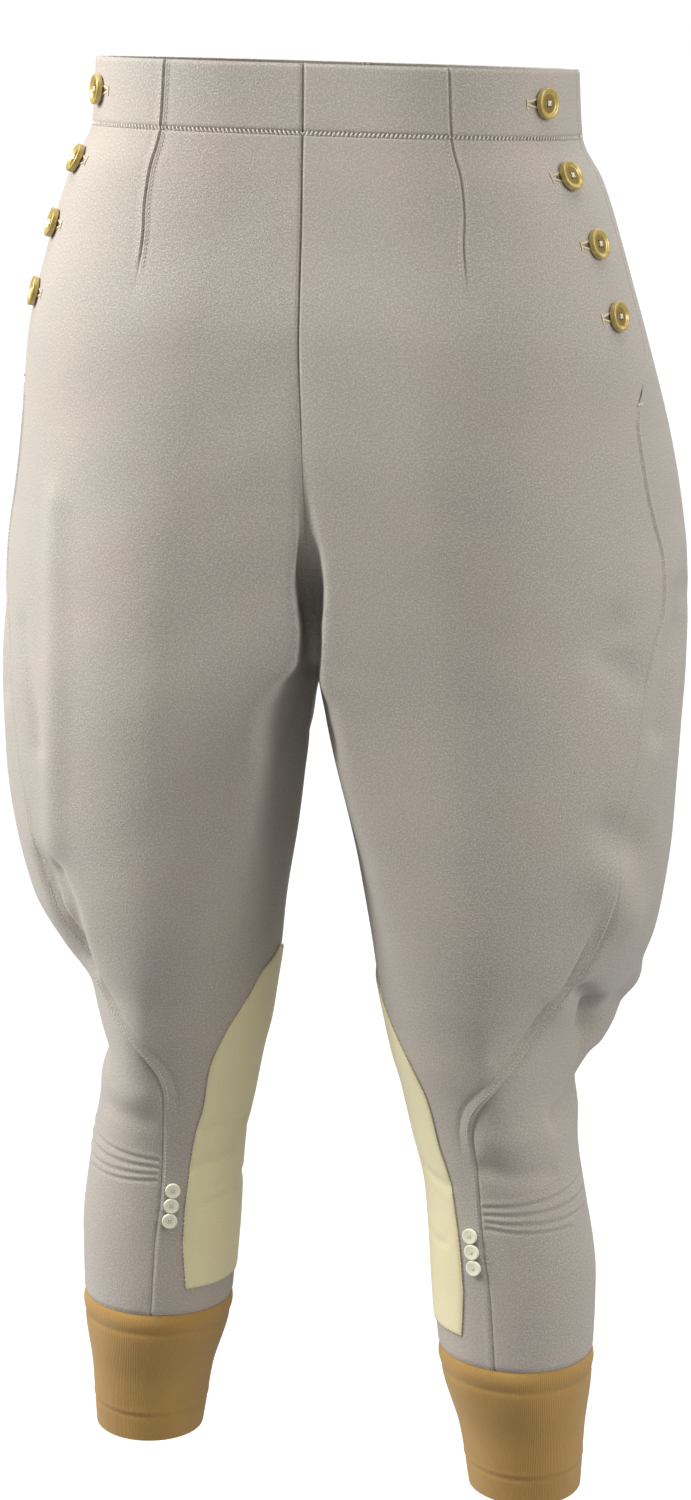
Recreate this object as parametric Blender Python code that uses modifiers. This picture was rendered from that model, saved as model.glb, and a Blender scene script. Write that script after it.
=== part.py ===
"""Riding breeches: flared wool breeches with side buttons, suede strappings and knit cuffs.

The garment keeps the hollow form of wear. +Z is up, the front faces -Y and the wearer's left is +X.
The origin is the centre of the waist hollow, at half the height of the waistband.

A place on the cloth has two coordinates. "turn" goes round one half of the garment in degrees: 0 is
the centre front or the inseam, 90 the front of the leg, 180 its outer side, 270 its back, and 360 the
centre back or the inseam again. The other is the height. Every piece is cut from this one surface.
"""

import math

import bmesh
import bpy
import numpy as np
from mathutils import Matrix, Vector

MM = 0.001

# Walls and gaps
WOOL = 0.0020
BAND = 0.0022
SUEDE = 0.0012
KNIT = 0.0018
STAND = 0.0015
SEAM_GAP = 0.0003
LAY_GAP = 0.0011
STAND_CLEARANCE = 0.0024

# Heights
BAND_TOP = 0.0205
BAND_SEAM = -0.0190
STRAP_TIP = -0.5360
STRAP_END = -0.7670
CUFF_SEAM = -0.7860
HEM = -0.8800
STAND_END = -0.1650
STAND_DROP = 0.0030

# Sections of the wearer's left half, in millimetres. The inner point is the centre seam down to the
# crotch and the inseam below it. Each power shapes one quarter: 2 is an ellipse, less is more pointed.
SECTION_COLUMNS = ("height", "middle_x", "inner_x", "inner_front_y", "inner_back_y",
                   "thigh_front_y", "thigh_back_y", "front_y", "outer_x", "outer_y", "back_y",
                   "power_front_in", "power_front_out", "power_back_out", "power_back_in")
SECTIONS = (
    # height   mid  in_x    in_f  in_b    th_f  th_b   front  outer   o_y   back  f_in  f_out  b_out  b_in
    (   21,   40,    0,   -103,  100,   -103,  100,   -103,   147,    0,   100, 2.00,  2.10,  2.10, 2.00),
    (  -20,   42,    0,   -105,  103,   -105,  103,   -105,   150,    0,   103, 2.00,  2.10,  2.10, 2.00),
    (  -45,   45,    0,   -107,  107,   -107,  107,   -107,   163,    0,   107, 2.00,  2.10,  2.10, 2.00),
    (  -80,   50,    0,   -110,  112,   -110,  112,   -110,   175,    0,   113, 2.00,  2.10,  2.10, 2.00),
    ( -140,   60,    0,   -116,  119,   -116,  119,   -117,   192,   10,   122, 1.70,  2.10,  2.10, 1.70),
    ( -200,   68,    0, -115.5,  114, -116.5,  115,   -118,   205,   40,   126, 1.70,  2.00,  2.00, 1.70),
    ( -250,   76,    0,   -105,   94, -113.5,  101,   -116,   214,   50,   122, 1.80,  1.90,  2.00, 1.80),
    ( -290,   82,    0,    -80,   58, -109.5,   82,   -113,   219,   42,   118, 1.90,  1.80,  1.90, 1.90),
    ( -320, 84.5,    0,    -61,   10,   -105,   64, -110.6,   220,   33, 114.2, 2.00,  1.75,  1.85, 2.00),
    ( -334, 85.7,    0,    -50,  -12,   -102,   55, -109.4,   220, 28.5, 112.4, 2.00,  1.75,  1.85, 2.00),
    ( -346, 86.7,    0,    -36,  -36,  -98.5,   48, -108.4,   220, 24.8, 110.8, 2.00,  1.75,  1.85, 2.00),
    ( -376, 89.5,  5.2,    -36,  -36,    -87,   27, -105.8,   219,   17,   107, 2.00,  1.75,  1.80, 2.00),
    ( -440,   96, 17.4,    -24,  -24,    -60,    2,    -99,   216,   12,   100, 2.00,  1.75,  1.80, 2.00),
    ( -510,  102,   31,    -16,  -16,    -29,  -12,    -90,   206,   24,    92, 2.00,  1.75,  1.80, 2.00),
    ( -545,  105,   36,    -12,  -12,    -12,  -12,    -83,   192,   50,    88, 2.00,  1.75,  1.80, 2.00),
    ( -568,  107,   40,    -10,  -10,    -10,  -10,    -77,   176,   72,    86, 2.00,  1.80,  1.80, 2.00),
    ( -590,  109,   44,     -8,   -8,     -8,   -8,    -72,   168,   66,    81, 2.00,  1.90,  1.80, 2.00),
    ( -612,  111,   50,     -6,   -6,     -6,   -6,    -66,   160,   46,    73, 2.00,  2.00,  2.00, 2.00),
    ( -640,  113,   56,     -5,   -5,     -5,   -5,    -60,   159,   12,    64, 2.00,  2.00,  2.00, 2.00),
    ( -680,  115,   65,     -5,   -5,     -5,   -5,    -55,   165,    0,    56, 2.00,  2.00,  2.00, 2.00),
    ( -740,  120,   69,     -5,   -5,     -5,   -5,    -54,   173,    0,    54, 2.00,  2.00,  2.00, 2.00),
    ( -800,  124,   75,     -5,   -5,     -5,   -5,    -53,   172,    0,    54, 2.00,  2.00,  2.00, 2.00),
    ( -840,  127,   87,     -5,   -5,     -5,   -5,    -46,   168,    0,    48, 2.00,  2.00,  2.00, 2.00),
    ( -880,  130,   94,     -5,   -5,     -5,   -5,    -42,   166,    0,    42, 2.00,  2.00,  2.00, 2.00),
)

# The fork, below which front and back meet at the inner seam, and how wide the drop into it is, from
# the inner seam to the fronts and backs of the thighs.
FORK_LEVEL = -346
FORK_COLUMNS = ("height", "width")
FORK = ((-190, 4), (-237, 4.5), (-262, 6), (-283, 8), (-300, 7), (-311, 6), (-332, 6), (-346, 9),
        (-360, 11), (-376, 12), (-440, 15), (-545, 20))
FORK_POWER = 4.0
LEVEL_SLACK = 1e-6

# Stance, in millimetres: the hips lean to the wearer's left and the left leg stands a step forward.
STANCE_COLUMNS = ("height", "lean_x", "step_y")
STANCE = ((21, -0.5, 0), (0, 0, 0), (-345, 7, 0), (-440, 9.5, -5), (-560, 13, -10),
          (-680, 18.5, -14), (-880, 24, -16))
# How far the cloth beside the middle seam strays sideways from that lean, fading out over the reach.
DRIFT_COLUMNS = ("height", "drift_x")
DRIFT = ((21, 0), (-130, 0.8), (-195, 3), (-237, 5.5), (-262, 8.5), (-283, 8), (-311, 8), (-332, 6),
         (-346, 0), (-376, -2), (-400, -2), (-470, 0), (-880, 0))
DRIFT_REACH = 60

# Lines across the cloth: height in millimetres, turn in degrees.
LINE_COLUMNS = ("height", "turn")
SIDE_SEAM = ((21, 176), (-110, 176), (-145, 174), (-165, 166), (-180, 160), (-205, 157), (-240, 158),
             (-265, 162), (-290, 162), (-305, 158), (-325, 154), (-350, 151), (-400, 148),
             (-440, 144), (-490, 141), (-523, 135), (-552, 126), (-580, 114), (-598, 99),
             (-608, 89), (-618, 83), (-630, 80), (-700, 80), (-740, 82), (-880, 82))
STRAP_FRONT = ((21, 90), (-340, 84), (-540, 58), (-600, 50), (-622, 53), (-645, 54), (-657, 58),
               (-700, 60), (-730, 61), (-767, 57), (-786, 57))
STRAP_BACK = ((21, 270), (-340, 276), (-540, 300), (-600, 305), (-700, 302), (-786, 304))
STRAP_TIP_SHAPE = ((-536, 0.16), (-549, 0.38), (-562, 0.55), (-574, 0.72), (-587, 0.88), (-600, 1.0),
                   (-767, 1.0))
DART = ((21, 113), (-33, 113), (-60, 112), (-82, 110), (-105, 109))

# Rows of points from the waist seam to the cuff seam: the height of each row at its inner and outer
# ends in millimetres, the rows up to it, and a power that draws rows together at the inner end.
ROWS = (
    # inner    outer   rows  power
    (-19.15, -19.15, 0, 1.0),
    (-130, -133, 5, 1.0),
    (-250, -245, 5, 1.0),
    (-346, -352, 7, 1.6),
    (-536, -528, 9, 1.0),
    (-600, -600, 5, 1.0),
    (-655, -655, 5, 1.0),
    (-697, -697, 8, 1.0),
    (-767, -767, 4, 1.0),
    (-785.85, -785.85, 1, 1.0),
)
FRONT_STEPS = (5, 6)   # inner seam to strapping line, then to the side seam
BACK_STEPS = (9, 4)    # side seam to strapping line, then to the inner seam
BAND_STEPS = (5, 4, 9)
BAND_ROWS = 2
CUFF_STEPS = 20
CUFF_ROWS = 4
STAND_STEPS = 3
STAND_ROWS = 8
STAND_EDGE = 174
STAND_TUCK_UNDER = 4
STAND_FRONT = 142

# Folds, in millimetres and degrees: three places on the path, the depth (a ridge is negative), the
# half width, and which leg has it.
FOLD_COLUMNS = ("leg", "turn_1", "height_1", "turn_2", "height_2", "turn_3", "height_3", "depth", "width")
FOLDS = (
    ("left", 137, -541, 146, -555, 156, -579, 7.0, 8.5),
    ("right", 131, -488, 126, -514, 126, -548, 7.0, 9.0),
    ("right", 235, -585, 200, -606, 140, -618, 6.0, 9.0),
    ("left", 235, -590, 200, -612, 146, -625, 6.0, 9.0),
    ("left", 198, -288, 184, -288, 170, -297, 3.2, 11.0),
    ("both", 168, -314, 162, -340, 159, -374, 4.5, 10.0),
    ("left", 140, -306, 136, -320, 146, -338, 3.5, 12.0),
    ("left", 139, -430, 144, -437, 151, -444, 4.0, 13.0),
    ("both", 250, -300, 262, -330, 300, -345, 5.0, 12.0),
    ("both", 240, -330, 262, -352, 310, -362, 4.0, 10.0),
    ("both", 225, -640, 255, -646, 300, -640, 4.0, 9.0),
    ("both", 220, -662, 250, -668, 305, -662, 3.0, 8.0),
    ("left", 175, -554, 171, -562, 168, -572, -6.5, 16.0),
)
# Sewn tucks on the outside of the knee: turn at the far end and heights at the seam and far end.
TUCK_COLUMNS = ("far_turn", "height_at_seam", "height_far")
TUCKS = ((178, -677, -667), (178, -682, -677), (174, -687, -687), (150, -691, -694))
TUCK_SEAM_TURN = 84
TUCK_DEPTH = 1.6
TUCK_WIDTH = 2.6

# Buttons: height and turn of each, in millimetres and degrees.
SIDE_BUTTONS = ((1, 150), (-41, 153), (-80, 157), (-122, 158))
KNEE_BUTTONS = ((-697.2, 71), (-707.7, 71.5), (-718.2, 72))
SIDE_BUTTON_RADIUS = 0.0090
SIDE_BUTTON_THICKNESS = 0.0036
KNEE_BUTTON_RADIUS = 0.0050
KNEE_BUTTON_THICKNESS = 0.0024
SIDE_BUTTON_SIDES = 12
KNEE_BUTTON_SIDES = 10
BUTTON_LIFT = 0.0006
HOLES = 4
HOLE_RADIUS = 0.0009
HOLE_SPREAD = 0.0022
HOLE_SIDES = 6
MERGE_DISTANCE = 0.00002
# Profile of a button as shares of its radius and thickness, from the face's centre to the back's.
BUTTON_PROFILE = ((0.0, 0.62), (0.50, 0.62), (0.66, 0.96), (0.84, 1.0), (1.0, 0.62), (0.86, 0.0), (0.0, 0.0))

MATERIALS = {
    # name: colour, roughness, metallic
    "wool": ((0.36, 0.32, 0.28), 0.92, 0.0),
    "suede": ((0.60, 0.54, 0.33), 0.90, 0.0),
    "knit": ((0.46, 0.29, 0.12), 0.90, 0.0),
    "gilt": ((0.55, 0.42, 0.17), 0.40, 0.3),
    "pearl": ((0.80, 0.80, 0.62), 0.35, 0.0),
}

SIDES = {"left": 1.0, "right": -1.0}

SMOOTH_ANGLE = math.radians(50)


# ---------------------------------------------------------------- curves and the surface

def smooth_through(knots, values, at):
    """A curve through the knots that never overshoots them (monotone cubic)."""
    order = np.argsort(knots)
    knots = np.asarray(knots, float)[order]
    values = np.asarray(values, float)[order]
    step = np.diff(knots)
    rise = np.diff(values) / step
    slope = np.empty(len(knots))
    slope[0], slope[-1] = rise[0], rise[-1]
    for k in range(1, len(knots) - 1):
        if rise[k - 1] * rise[k] <= 0:
            slope[k] = 0.0
            continue
        w_1 = 2 * step[k] + step[k - 1]
        w_2 = step[k] + 2 * step[k - 1]
        slope[k] = (w_1 + w_2) / (w_1 / rise[k - 1] + w_2 / rise[k])
    at = np.clip(np.asarray(at, float), knots[0], knots[-1])
    k = np.clip(np.searchsorted(knots, at, side="right") - 1, 0, len(knots) - 2)
    t = (at - knots[k]) / step[k]
    return ((2 * t**3 - 3 * t**2 + 1) * values[k] + (t**3 - 2 * t**2 + t) * step[k] * slope[k]
            + (3 * t**2 - 2 * t**3) * values[k + 1] + (t**3 - t**2) * step[k] * slope[k + 1])


def read(table, columns, name, height):
    """One column of a table at the given height in metres."""
    column = columns.index(name)
    return smooth_through([row[0] for row in table], [row[column] for row in table], height / MM)


def line_turn(line, height):
    """The turn of a line across the cloth at a height."""
    return read(line, LINE_COLUMNS, "turn", height)


def plain_point(turn, height):
    """A point of the left half before stance and folds."""
    turn, height = np.broadcast_arrays(np.asarray(turn, float), np.asarray(height, float))
    at = {name: read(SECTIONS, SECTION_COLUMNS, name, height) for name in SECTION_COLUMNS[1:]}
    quarter = np.clip(turn // 90, 0, 3)
    angle = np.radians(turn - 90 * quarter)
    rise = np.clip(np.sin(angle), 0, 1)
    run = np.clip(np.cos(angle), 0, 1)
    middle = at["middle_x"]
    thighs = {"inner_front_y": at["thigh_front_y"], "inner_back_y": at["thigh_back_y"]}
    width = read(FORK, FORK_COLUMNS, "width", height)
    x = np.zeros(turn.shape)
    y = np.zeros(turn.shape)
    # quarter, power, end that the sine leads away from: x of the side point, its y, and the end y
    for index, power, side_x, side_y, end_y, inward in (
            (0, "power_front_in", "inner_x", "inner_front_y", "front_y", True),
            (1, "power_front_out", "outer_x", "outer_y", "front_y", False),
            (2, "power_back_out", "outer_x", "outer_y", "back_y", True),
            (3, "power_back_in", "inner_x", "inner_back_y", "back_y", False)):
        here = quarter == index
        exponent = 2 / at[power]
        to_side = (run if inward else rise) ** exponent
        to_end = (rise if inward else run) ** exponent
        from_side = thighs.get(side_y, at[side_y])
        x = np.where(here, middle + (at[side_x] - middle) * to_side, x)
        reach = np.exp(-(np.abs(x - at[side_x]) / width) ** FORK_POWER)
        y = np.where(here, from_side + (at[end_y] - from_side) * to_end + (at[side_y] - from_side) * reach, y)
    x = np.maximum(x, SEAM_GAP / 2 / MM)
    return np.stack([x * MM, y * MM, height], axis=-1)


def plain_normal(turn, height):
    """Outward direction of the plain surface, measured over a short step each way."""
    turn, height = np.broadcast_arrays(np.asarray(turn, float), np.asarray(height, float))
    reach = 2.5
    lift = 0.003
    joined = height < FORK_LEVEL * MM + LEVEL_SLACK
    ahead = np.where(joined, (turn + reach) % 360, np.minimum(turn + reach, 360))
    behind = np.where(joined, (turn - reach) % 360, np.maximum(turn - reach, 0))
    along = plain_point(ahead, height) - plain_point(behind, height)
    top = np.where(joined, np.minimum(height + lift, FORK_LEVEL * MM), height + lift)
    up = plain_point(turn, top) - plain_point(turn, height - lift)
    normal = np.cross(along, up)
    return normal / np.maximum(np.linalg.norm(normal, axis=-1, keepdims=True), 1e-12)


def fold_depth(side, points):
    """How far each plain point sinks into the folds of its leg."""
    sink = np.zeros(points.shape[:-1])
    share = np.linspace(0, 1, 33)
    for fold in FOLDS:
        row = dict(zip(FOLD_COLUMNS, fold))
        if row["leg"] not in ("both", side):
            continue
        turns = (row["turn_1"], row["turn_2"], row["turn_3"])
        heights = (row["height_1"] * MM, row["height_2"] * MM, row["height_3"] * MM)
        sink += row["depth"] * MM * near_path(points, turns, heights, share, row["width"] * MM)
    for tuck in TUCKS:
        row = dict(zip(TUCK_COLUMNS, tuck))
        middle = (row["height_at_seam"] + row["height_far"]) / 2 - 1.0
        turns = (TUCK_SEAM_TURN, (TUCK_SEAM_TURN + row["far_turn"]) / 2, row["far_turn"])
        heights = (row["height_at_seam"] * MM, middle * MM, row["height_far"] * MM)
        sink += TUCK_DEPTH * MM * near_path(points, turns, heights, share, TUCK_WIDTH * MM)
    return sink


def near_path(points, turns, heights, share, width):
    """1 on a path through three places, fading to 0 beyond its width."""
    path = plain_point(smooth_through((0, 0.5, 1), turns, share), smooth_through((0, 0.5, 1), heights, share))
    near = np.full(points.shape[:-1], np.inf)
    for spot in path:
        near = np.minimum(near, np.linalg.norm(points - spot, axis=-1))
    return np.exp(-(near / width) ** 2)


def cloth_point(side, turn, height):
    """Points of the cloth's outer surface on one side, with folds and stance."""
    plain = plain_point(turn, height)
    folded = plain - plain_normal(turn, height) * fold_depth(side, plain)[..., None]
    folded[..., 0] = np.maximum(folded[..., 0], SEAM_GAP / 2)
    lean = read(STANCE, STANCE_COLUMNS, "lean_x", folded[..., 2]) * MM
    step = read(STANCE, STANCE_COLUMNS, "step_y", folded[..., 2]) * MM
    near = np.exp(-(folded[..., 0] / (DRIFT_REACH * MM)) ** 2)
    drift = read(DRIFT, DRIFT_COLUMNS, "drift_x", folded[..., 2]) * MM
    folded[..., 0] = SIDES[side] * folded[..., 0] + lean + drift * near
    folded[..., 1] += SIDES[side] * step
    return folded


def outward(side, turn, height):
    """Outward direction of one side's cloth, the same for every piece that meets there."""
    normal = plain_normal(turn, height)
    normal[..., 0] *= SIDES[side]
    return normal


# ---------------------------------------------------------------- rows of points

def row_heights():
    """Pairs of inner and outer heights, from the waist seam to the cuff seam."""
    pairs = [(ROWS[0][0] * MM, ROWS[0][1] * MM)]
    for inner, outer, count, power in ROWS[1:]:
        from_inner, from_outer = pairs[-1]
        for k in range(1, count + 1):
            share = k / count
            pairs.append((from_inner + (inner * MM - from_inner) * (1 - (1 - share) ** power),
                          from_outer + (outer * MM - from_outer) * share))
    return pairs


def row_height(inner, outer, turn):
    """Height along one row: inner at the inner seam, outer at the side."""
    return outer + (inner - outer) * (1 + np.cos(np.radians(turn))) / 2


def line_on_row(inner, outer, line):
    """Where a line across the cloth meets a row."""
    turn = line_turn(line, outer)
    for _ in range(6):
        turn = line_turn(line, row_height(inner, outer, turn))
    return float(turn)


def spread(inner, outer, stops, counts, gaps=(1.0, 1.0)):
    """Turns along a row at even steps of length between the stops, half a seam gap in from both ends.

    The gaps widen where a seam crosses the row at a slant.
    """
    fine = np.linspace(0, 360, 1441)
    points = plain_point(fine, row_height(inner, outer, fine))
    length = np.concatenate([[0], np.cumsum(np.linalg.norm(np.diff(points, axis=0), axis=1))])
    marks = [np.interp(stop, fine, length) for stop in stops]
    marks[0] += gaps[0] * SEAM_GAP / 2
    marks[-1] -= gaps[1] * SEAM_GAP / 2
    steps = [np.linspace(marks[k], marks[k + 1], counts[k] + 1)[(k > 0):] for k in range(len(counts))]
    return np.interp(np.concatenate(steps), length, fine)


def slant(edge, height):
    """How much longer a gap across a slanted line is along its row; 1 where the line is upright."""
    if isinstance(edge, int):
        return 1.0
    reach = 0.006
    above = plain_point(line_turn(edge, height + reach), height + reach)
    below = plain_point(line_turn(edge, height - reach), height - reach)
    across = math.hypot(above[0] - below[0], above[1] - below[1])
    return math.hypot(1.0, across / (2 * reach))


def panel_rows(side, first, middle, last, counts):
    """Turns, points and outward directions of a leg panel, with a column on the middle line.

    An edge is a line across the cloth, or 0 or 360 for the inner seam.
    """
    turns, heights = [], []
    for inner, outer in row_heights():
        stops = [edge if isinstance(edge, int) else line_on_row(inner, outer, edge)
                 for edge in (first, middle, last)]
        gaps = [slant(edge, (inner + outer) / 2) for edge in (first, last)]
        turns.append(spread(inner, outer, stops, counts, gaps))
        heights.append(row_height(inner, outer, turns[-1]))
    turns, heights = np.array(turns), np.array(heights)
    return turns, cloth_point(side, turns, heights), outward(side, turns, heights)


# ---------------------------------------------------------------- building

def clear_scene():
    """Removes what the scene holds."""
    for item in list(bpy.data.objects):
        bpy.data.objects.remove(item, do_unlink=True)


def make_material(name):
    """A Principled material from the table."""
    colour, roughness, metallic = MATERIALS[name]
    material = bpy.data.materials.new(name)
    material.use_nodes = True
    shader = material.node_tree.nodes["Principled BSDF"]
    shader.inputs["Base Color"].default_value = (*colour, 1.0)
    shader.inputs["Roughness"].default_value = roughness
    shader.inputs["Metallic"].default_value = metallic
    return material


def add_object(name, mesh, material):
    """Puts a mesh into the garment's collection under the piece's name."""
    mesh.materials.append(bpy.data.materials[material])
    piece = bpy.data.objects.new(name, mesh)
    bpy.data.collections["riding_breeches"].objects.link(piece)
    return piece


def shell(name, outer, inner, material, closed=False):
    """A cloth piece: a grid laid through the outer points and extruded to the inner ones."""
    rows, columns = outer.shape[:2]
    form = bmesh.new()
    bmesh.ops.create_grid(form, x_segments=columns - 1, y_segments=rows - 1, size=1.0)
    place = form.verts.layers.int.new("place")
    for index, vertex in enumerate(form.verts):
        vertex[place] = index
        vertex.co = outer[index // columns, index % columns]
    if closed:
        form.verts.ensure_lookup_table()
        join = {form.verts[(r + 1) * columns - 1]: form.verts[r * columns] for r in range(rows)}
        bmesh.ops.weld_verts(form, targetmap=join)
    grown = bmesh.ops.extrude_face_region(form, geom=form.faces[:], use_keep_orig=True)
    for item in grown["geom"]:
        if isinstance(item, bmesh.types.BMVert):
            item.co = inner[item[place] // columns, item[place] % columns]
    bmesh.ops.recalc_face_normals(form, faces=form.faces[:])
    mesh = bpy.data.meshes.new(name)
    form.to_mesh(mesh)
    form.free()
    mesh.shade_smooth()
    mesh.set_sharp_from_angle(angle=SMOOTH_ANGLE)
    return add_object(name, mesh, material)


def build_leg(side):
    """Front and back of one leg, and the strapping that lies on both."""
    front = panel_rows(side, 0, STRAP_FRONT, SIDE_SEAM, FRONT_STEPS)
    back = panel_rows(side, SIDE_SEAM, STRAP_BACK, 360, BACK_STEPS)
    for name, (_, points, normals) in (("front", front), ("back", back)):
        shell(f"{name}_{side}", points, points - normals * WOOL, "wool")
    build_strapping(side, front, back)


def build_strapping(side, front, back):
    """The suede patch round the inner knee, laid on the points of the two leg panels."""
    inner_back = slice(BACK_STEPS[0], None)
    inner_front = slice(1, FRONT_STEPS[0] + 1)
    heights = np.array([inner for inner, _ in row_heights()])
    points, normals = [], []
    for k in np.flatnonzero((heights <= STRAP_TIP + LEVEL_SLACK) & (heights >= STRAP_END - LEVEL_SLACK)):
        knots = np.concatenate([back[0][k, inner_back] - 360, front[0][k, inner_front]])
        part = smooth_through([row[0] for row in STRAP_TIP_SHAPE], [row[1] for row in STRAP_TIP_SHAPE],
                              heights[k] / MM)
        for source, rows in ((1, points), (2, normals)):
            under = np.concatenate([back[source][k, inner_back], front[source][k, inner_front]])
            rows.append(np.stack([np.interp(knots * part, knots, under[:, axis]) for axis in range(3)],
                                 axis=-1))
    points, normals = np.array(points), np.array(normals)
    shell(f"strapping_{side}", points + normals * (LAY_GAP + SUEDE), points + normals * LAY_GAP, "suede")


def build_waistband(side):
    """The band in three parts: centre front to dart, dart to side opening, side opening to back."""
    stops = ((0, DART), (DART, SIDE_SEAM), (SIDE_SEAM, 360))
    levels = np.linspace(BAND_SEAM + SEAM_GAP / 2, BAND_TOP, BAND_ROWS + 1)
    for part, edges, count in zip(("front", "side", "back"), stops, BAND_STEPS):
        rows = []
        for height in levels:
            ends = [edge if isinstance(edge, int) else line_on_row(height, height, edge)
                    for edge in edges]
            rows.append(spread(height, height, ends, (count,)))
        turns = np.array(rows)
        heights = np.broadcast_to(levels[:, None], turns.shape)
        points = cloth_point(side, turns, heights)
        shell(f"waistband_{part}_{side}", points, points - outward(side, turns, heights) * BAND, "wool")


def build_stand(side):
    """The underlap that carries the side buttons, inside the side opening."""
    levels = np.linspace(BAND_TOP - STAND_DROP, STAND_END, STAND_ROWS + 1)
    edges = np.minimum(line_turn(SIDE_SEAM, levels), STAND_EDGE) + STAND_TUCK_UNDER
    turns = np.linspace(edges, np.full(edges.shape, STAND_FRONT), STAND_STEPS + 1, axis=1)
    heights = np.broadcast_to(levels[:, None], turns.shape)
    points = cloth_point(side, turns, heights)
    inward = outward(side, turns, heights)
    depth = BAND + STAND_CLEARANCE
    shell(f"button_stand_{side}", points - inward * depth, points - inward * (depth + STAND), "wool")


def build_cuff(side):
    """The knit cuff below the cloth, a tube of one piece."""
    levels = np.linspace(CUFF_SEAM - SEAM_GAP / 2, HEM, CUFF_ROWS + 1)
    turns, heights = np.meshgrid(np.linspace(0, 360, CUFF_STEPS + 1), levels)
    points = cloth_point(side, turns, heights)
    shell(f"cuff_{side}", points, points - outward(side, turns, heights) * KNIT, "knit", closed=True)


def button_mesh(name, radius, thickness, sides, holes):
    """A turned button with a raised rim round a dish, lying on the plane z = 0."""
    profile = bpy.data.meshes.new(name + "_profile")
    spots = [(r * radius, 0.0, z * thickness) for r, z in BUTTON_PROFILE]
    profile.from_pydata(spots, [(k, k + 1) for k in range(len(spots) - 1)], [])
    turned = bpy.data.objects.new(name + "_turned", profile)
    bpy.context.scene.collection.objects.link(turned)
    screw = turned.modifiers.new("turn", "SCREW")
    screw.steps = screw.render_steps = sides
    screw.use_merge_vertices = True
    screw.merge_threshold = MERGE_DISTANCE
    cutters = [hole_cutter(name, k / holes, thickness) for k in range(holes)]
    for cutter in cutters:
        cut = turned.modifiers.new("hole", "BOOLEAN")
        cut.operation = "DIFFERENCE"
        cut.object = cutter
    graph = bpy.context.evaluated_depsgraph_get()
    mesh = bpy.data.meshes.new_from_object(turned.evaluated_get(graph))
    mesh.name = name
    mesh.shade_smooth()
    mesh.set_sharp_from_angle(angle=SMOOTH_ANGLE)
    for helper in (turned, *cutters):
        bpy.data.objects.remove(helper, do_unlink=True)
    return mesh


def hole_cutter(name, share, thickness):
    """A pin through one of the button's holes, a share of the way round."""
    angle = math.radians(45 + 360 * share)
    place = Matrix.Translation((math.cos(angle) * HOLE_SPREAD, math.sin(angle) * HOLE_SPREAD, thickness / 2))
    form = bmesh.new()
    bmesh.ops.create_cone(form, cap_ends=True, segments=HOLE_SIDES, radius1=HOLE_RADIUS, radius2=HOLE_RADIUS,
                          depth=thickness * 3, matrix=place)
    mesh = bpy.data.meshes.new(f"{name}_hole_cutter")
    form.to_mesh(mesh)
    form.free()
    cutter = bpy.data.objects.new(mesh.name, mesh)
    bpy.context.scene.collection.objects.link(cutter)
    return cutter


def place_buttons(side, kind, table, mesh, material):
    """Copies a button to each place of its row, flat on the cloth."""
    for number, (height, turn) in enumerate(table, start=1):
        height *= MM
        seat = Vector(cloth_point(side, np.array([turn]), np.array([height]))[0])
        normal = Vector(outward(side, np.array([turn]), np.array([height]))[0])
        button = add_object(f"{kind}_{side}_{number}", mesh.copy(), material)
        button.rotation_euler = normal.to_track_quat("Z", "Y").to_euler()
        button.location = seat + normal * BUTTON_LIFT


def main():
    """Builds every piece of the breeches."""
    clear_scene()
    collection = bpy.data.collections.new("riding_breeches")
    bpy.context.scene.collection.children.link(collection)
    for name in MATERIALS:
        make_material(name)
    side_button = button_mesh("side_button", SIDE_BUTTON_RADIUS, SIDE_BUTTON_THICKNESS,
                              SIDE_BUTTON_SIDES, HOLES)
    knee_button = button_mesh("knee_button", KNEE_BUTTON_RADIUS, KNEE_BUTTON_THICKNESS,
                              KNEE_BUTTON_SIDES, 0)
    for side in SIDES:
        build_leg(side)
        build_waistband(side)
        build_stand(side)
        build_cuff(side)
        place_buttons(side, "side_button", SIDE_BUTTONS, side_button, "gilt")
        place_buttons(side, "knee_button", KNEE_BUTTONS, knee_button, "pearl")


main()
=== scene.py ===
"""Riding breeches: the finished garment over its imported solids.

Wool legs that flare at the thigh, a waistband, eight side buttons in worked buttonholes, suede
strappings whip-stitched round the inner knees, pearl knee buttons, sewn tucks and knit cuffs.

A place on the cloth has a "turn" and a height. The turn goes round one half of the garment in
degrees: 0 is the centre front or the inseam, 90 the front of the leg, 180 its outer side, 270 its
back, and 360 the centre back or the inseam again. Each piece follows the same surface as its solid.
"""

from __future__ import annotations

import logging
import math
from dataclasses import dataclass, field
from enum import Enum

import bpy
import numpy as np
from mathutils import Color, Matrix, Vector

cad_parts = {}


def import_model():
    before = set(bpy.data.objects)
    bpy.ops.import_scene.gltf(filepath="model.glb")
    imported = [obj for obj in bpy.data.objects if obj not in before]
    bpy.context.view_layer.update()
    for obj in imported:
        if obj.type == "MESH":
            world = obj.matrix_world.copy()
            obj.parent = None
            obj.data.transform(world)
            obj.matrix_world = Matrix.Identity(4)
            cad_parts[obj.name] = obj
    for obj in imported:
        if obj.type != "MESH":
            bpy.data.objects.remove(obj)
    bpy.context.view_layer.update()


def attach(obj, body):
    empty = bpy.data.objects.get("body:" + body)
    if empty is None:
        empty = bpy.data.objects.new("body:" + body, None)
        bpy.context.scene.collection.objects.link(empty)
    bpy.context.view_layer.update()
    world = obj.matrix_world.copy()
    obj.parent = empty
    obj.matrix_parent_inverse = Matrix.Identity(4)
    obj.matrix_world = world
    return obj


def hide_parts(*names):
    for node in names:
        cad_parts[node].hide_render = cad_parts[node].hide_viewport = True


Numbers = np.ndarray | float
LOG = logging.getLogger("breeches")
MM = 0.001
BODY = "root"

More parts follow.
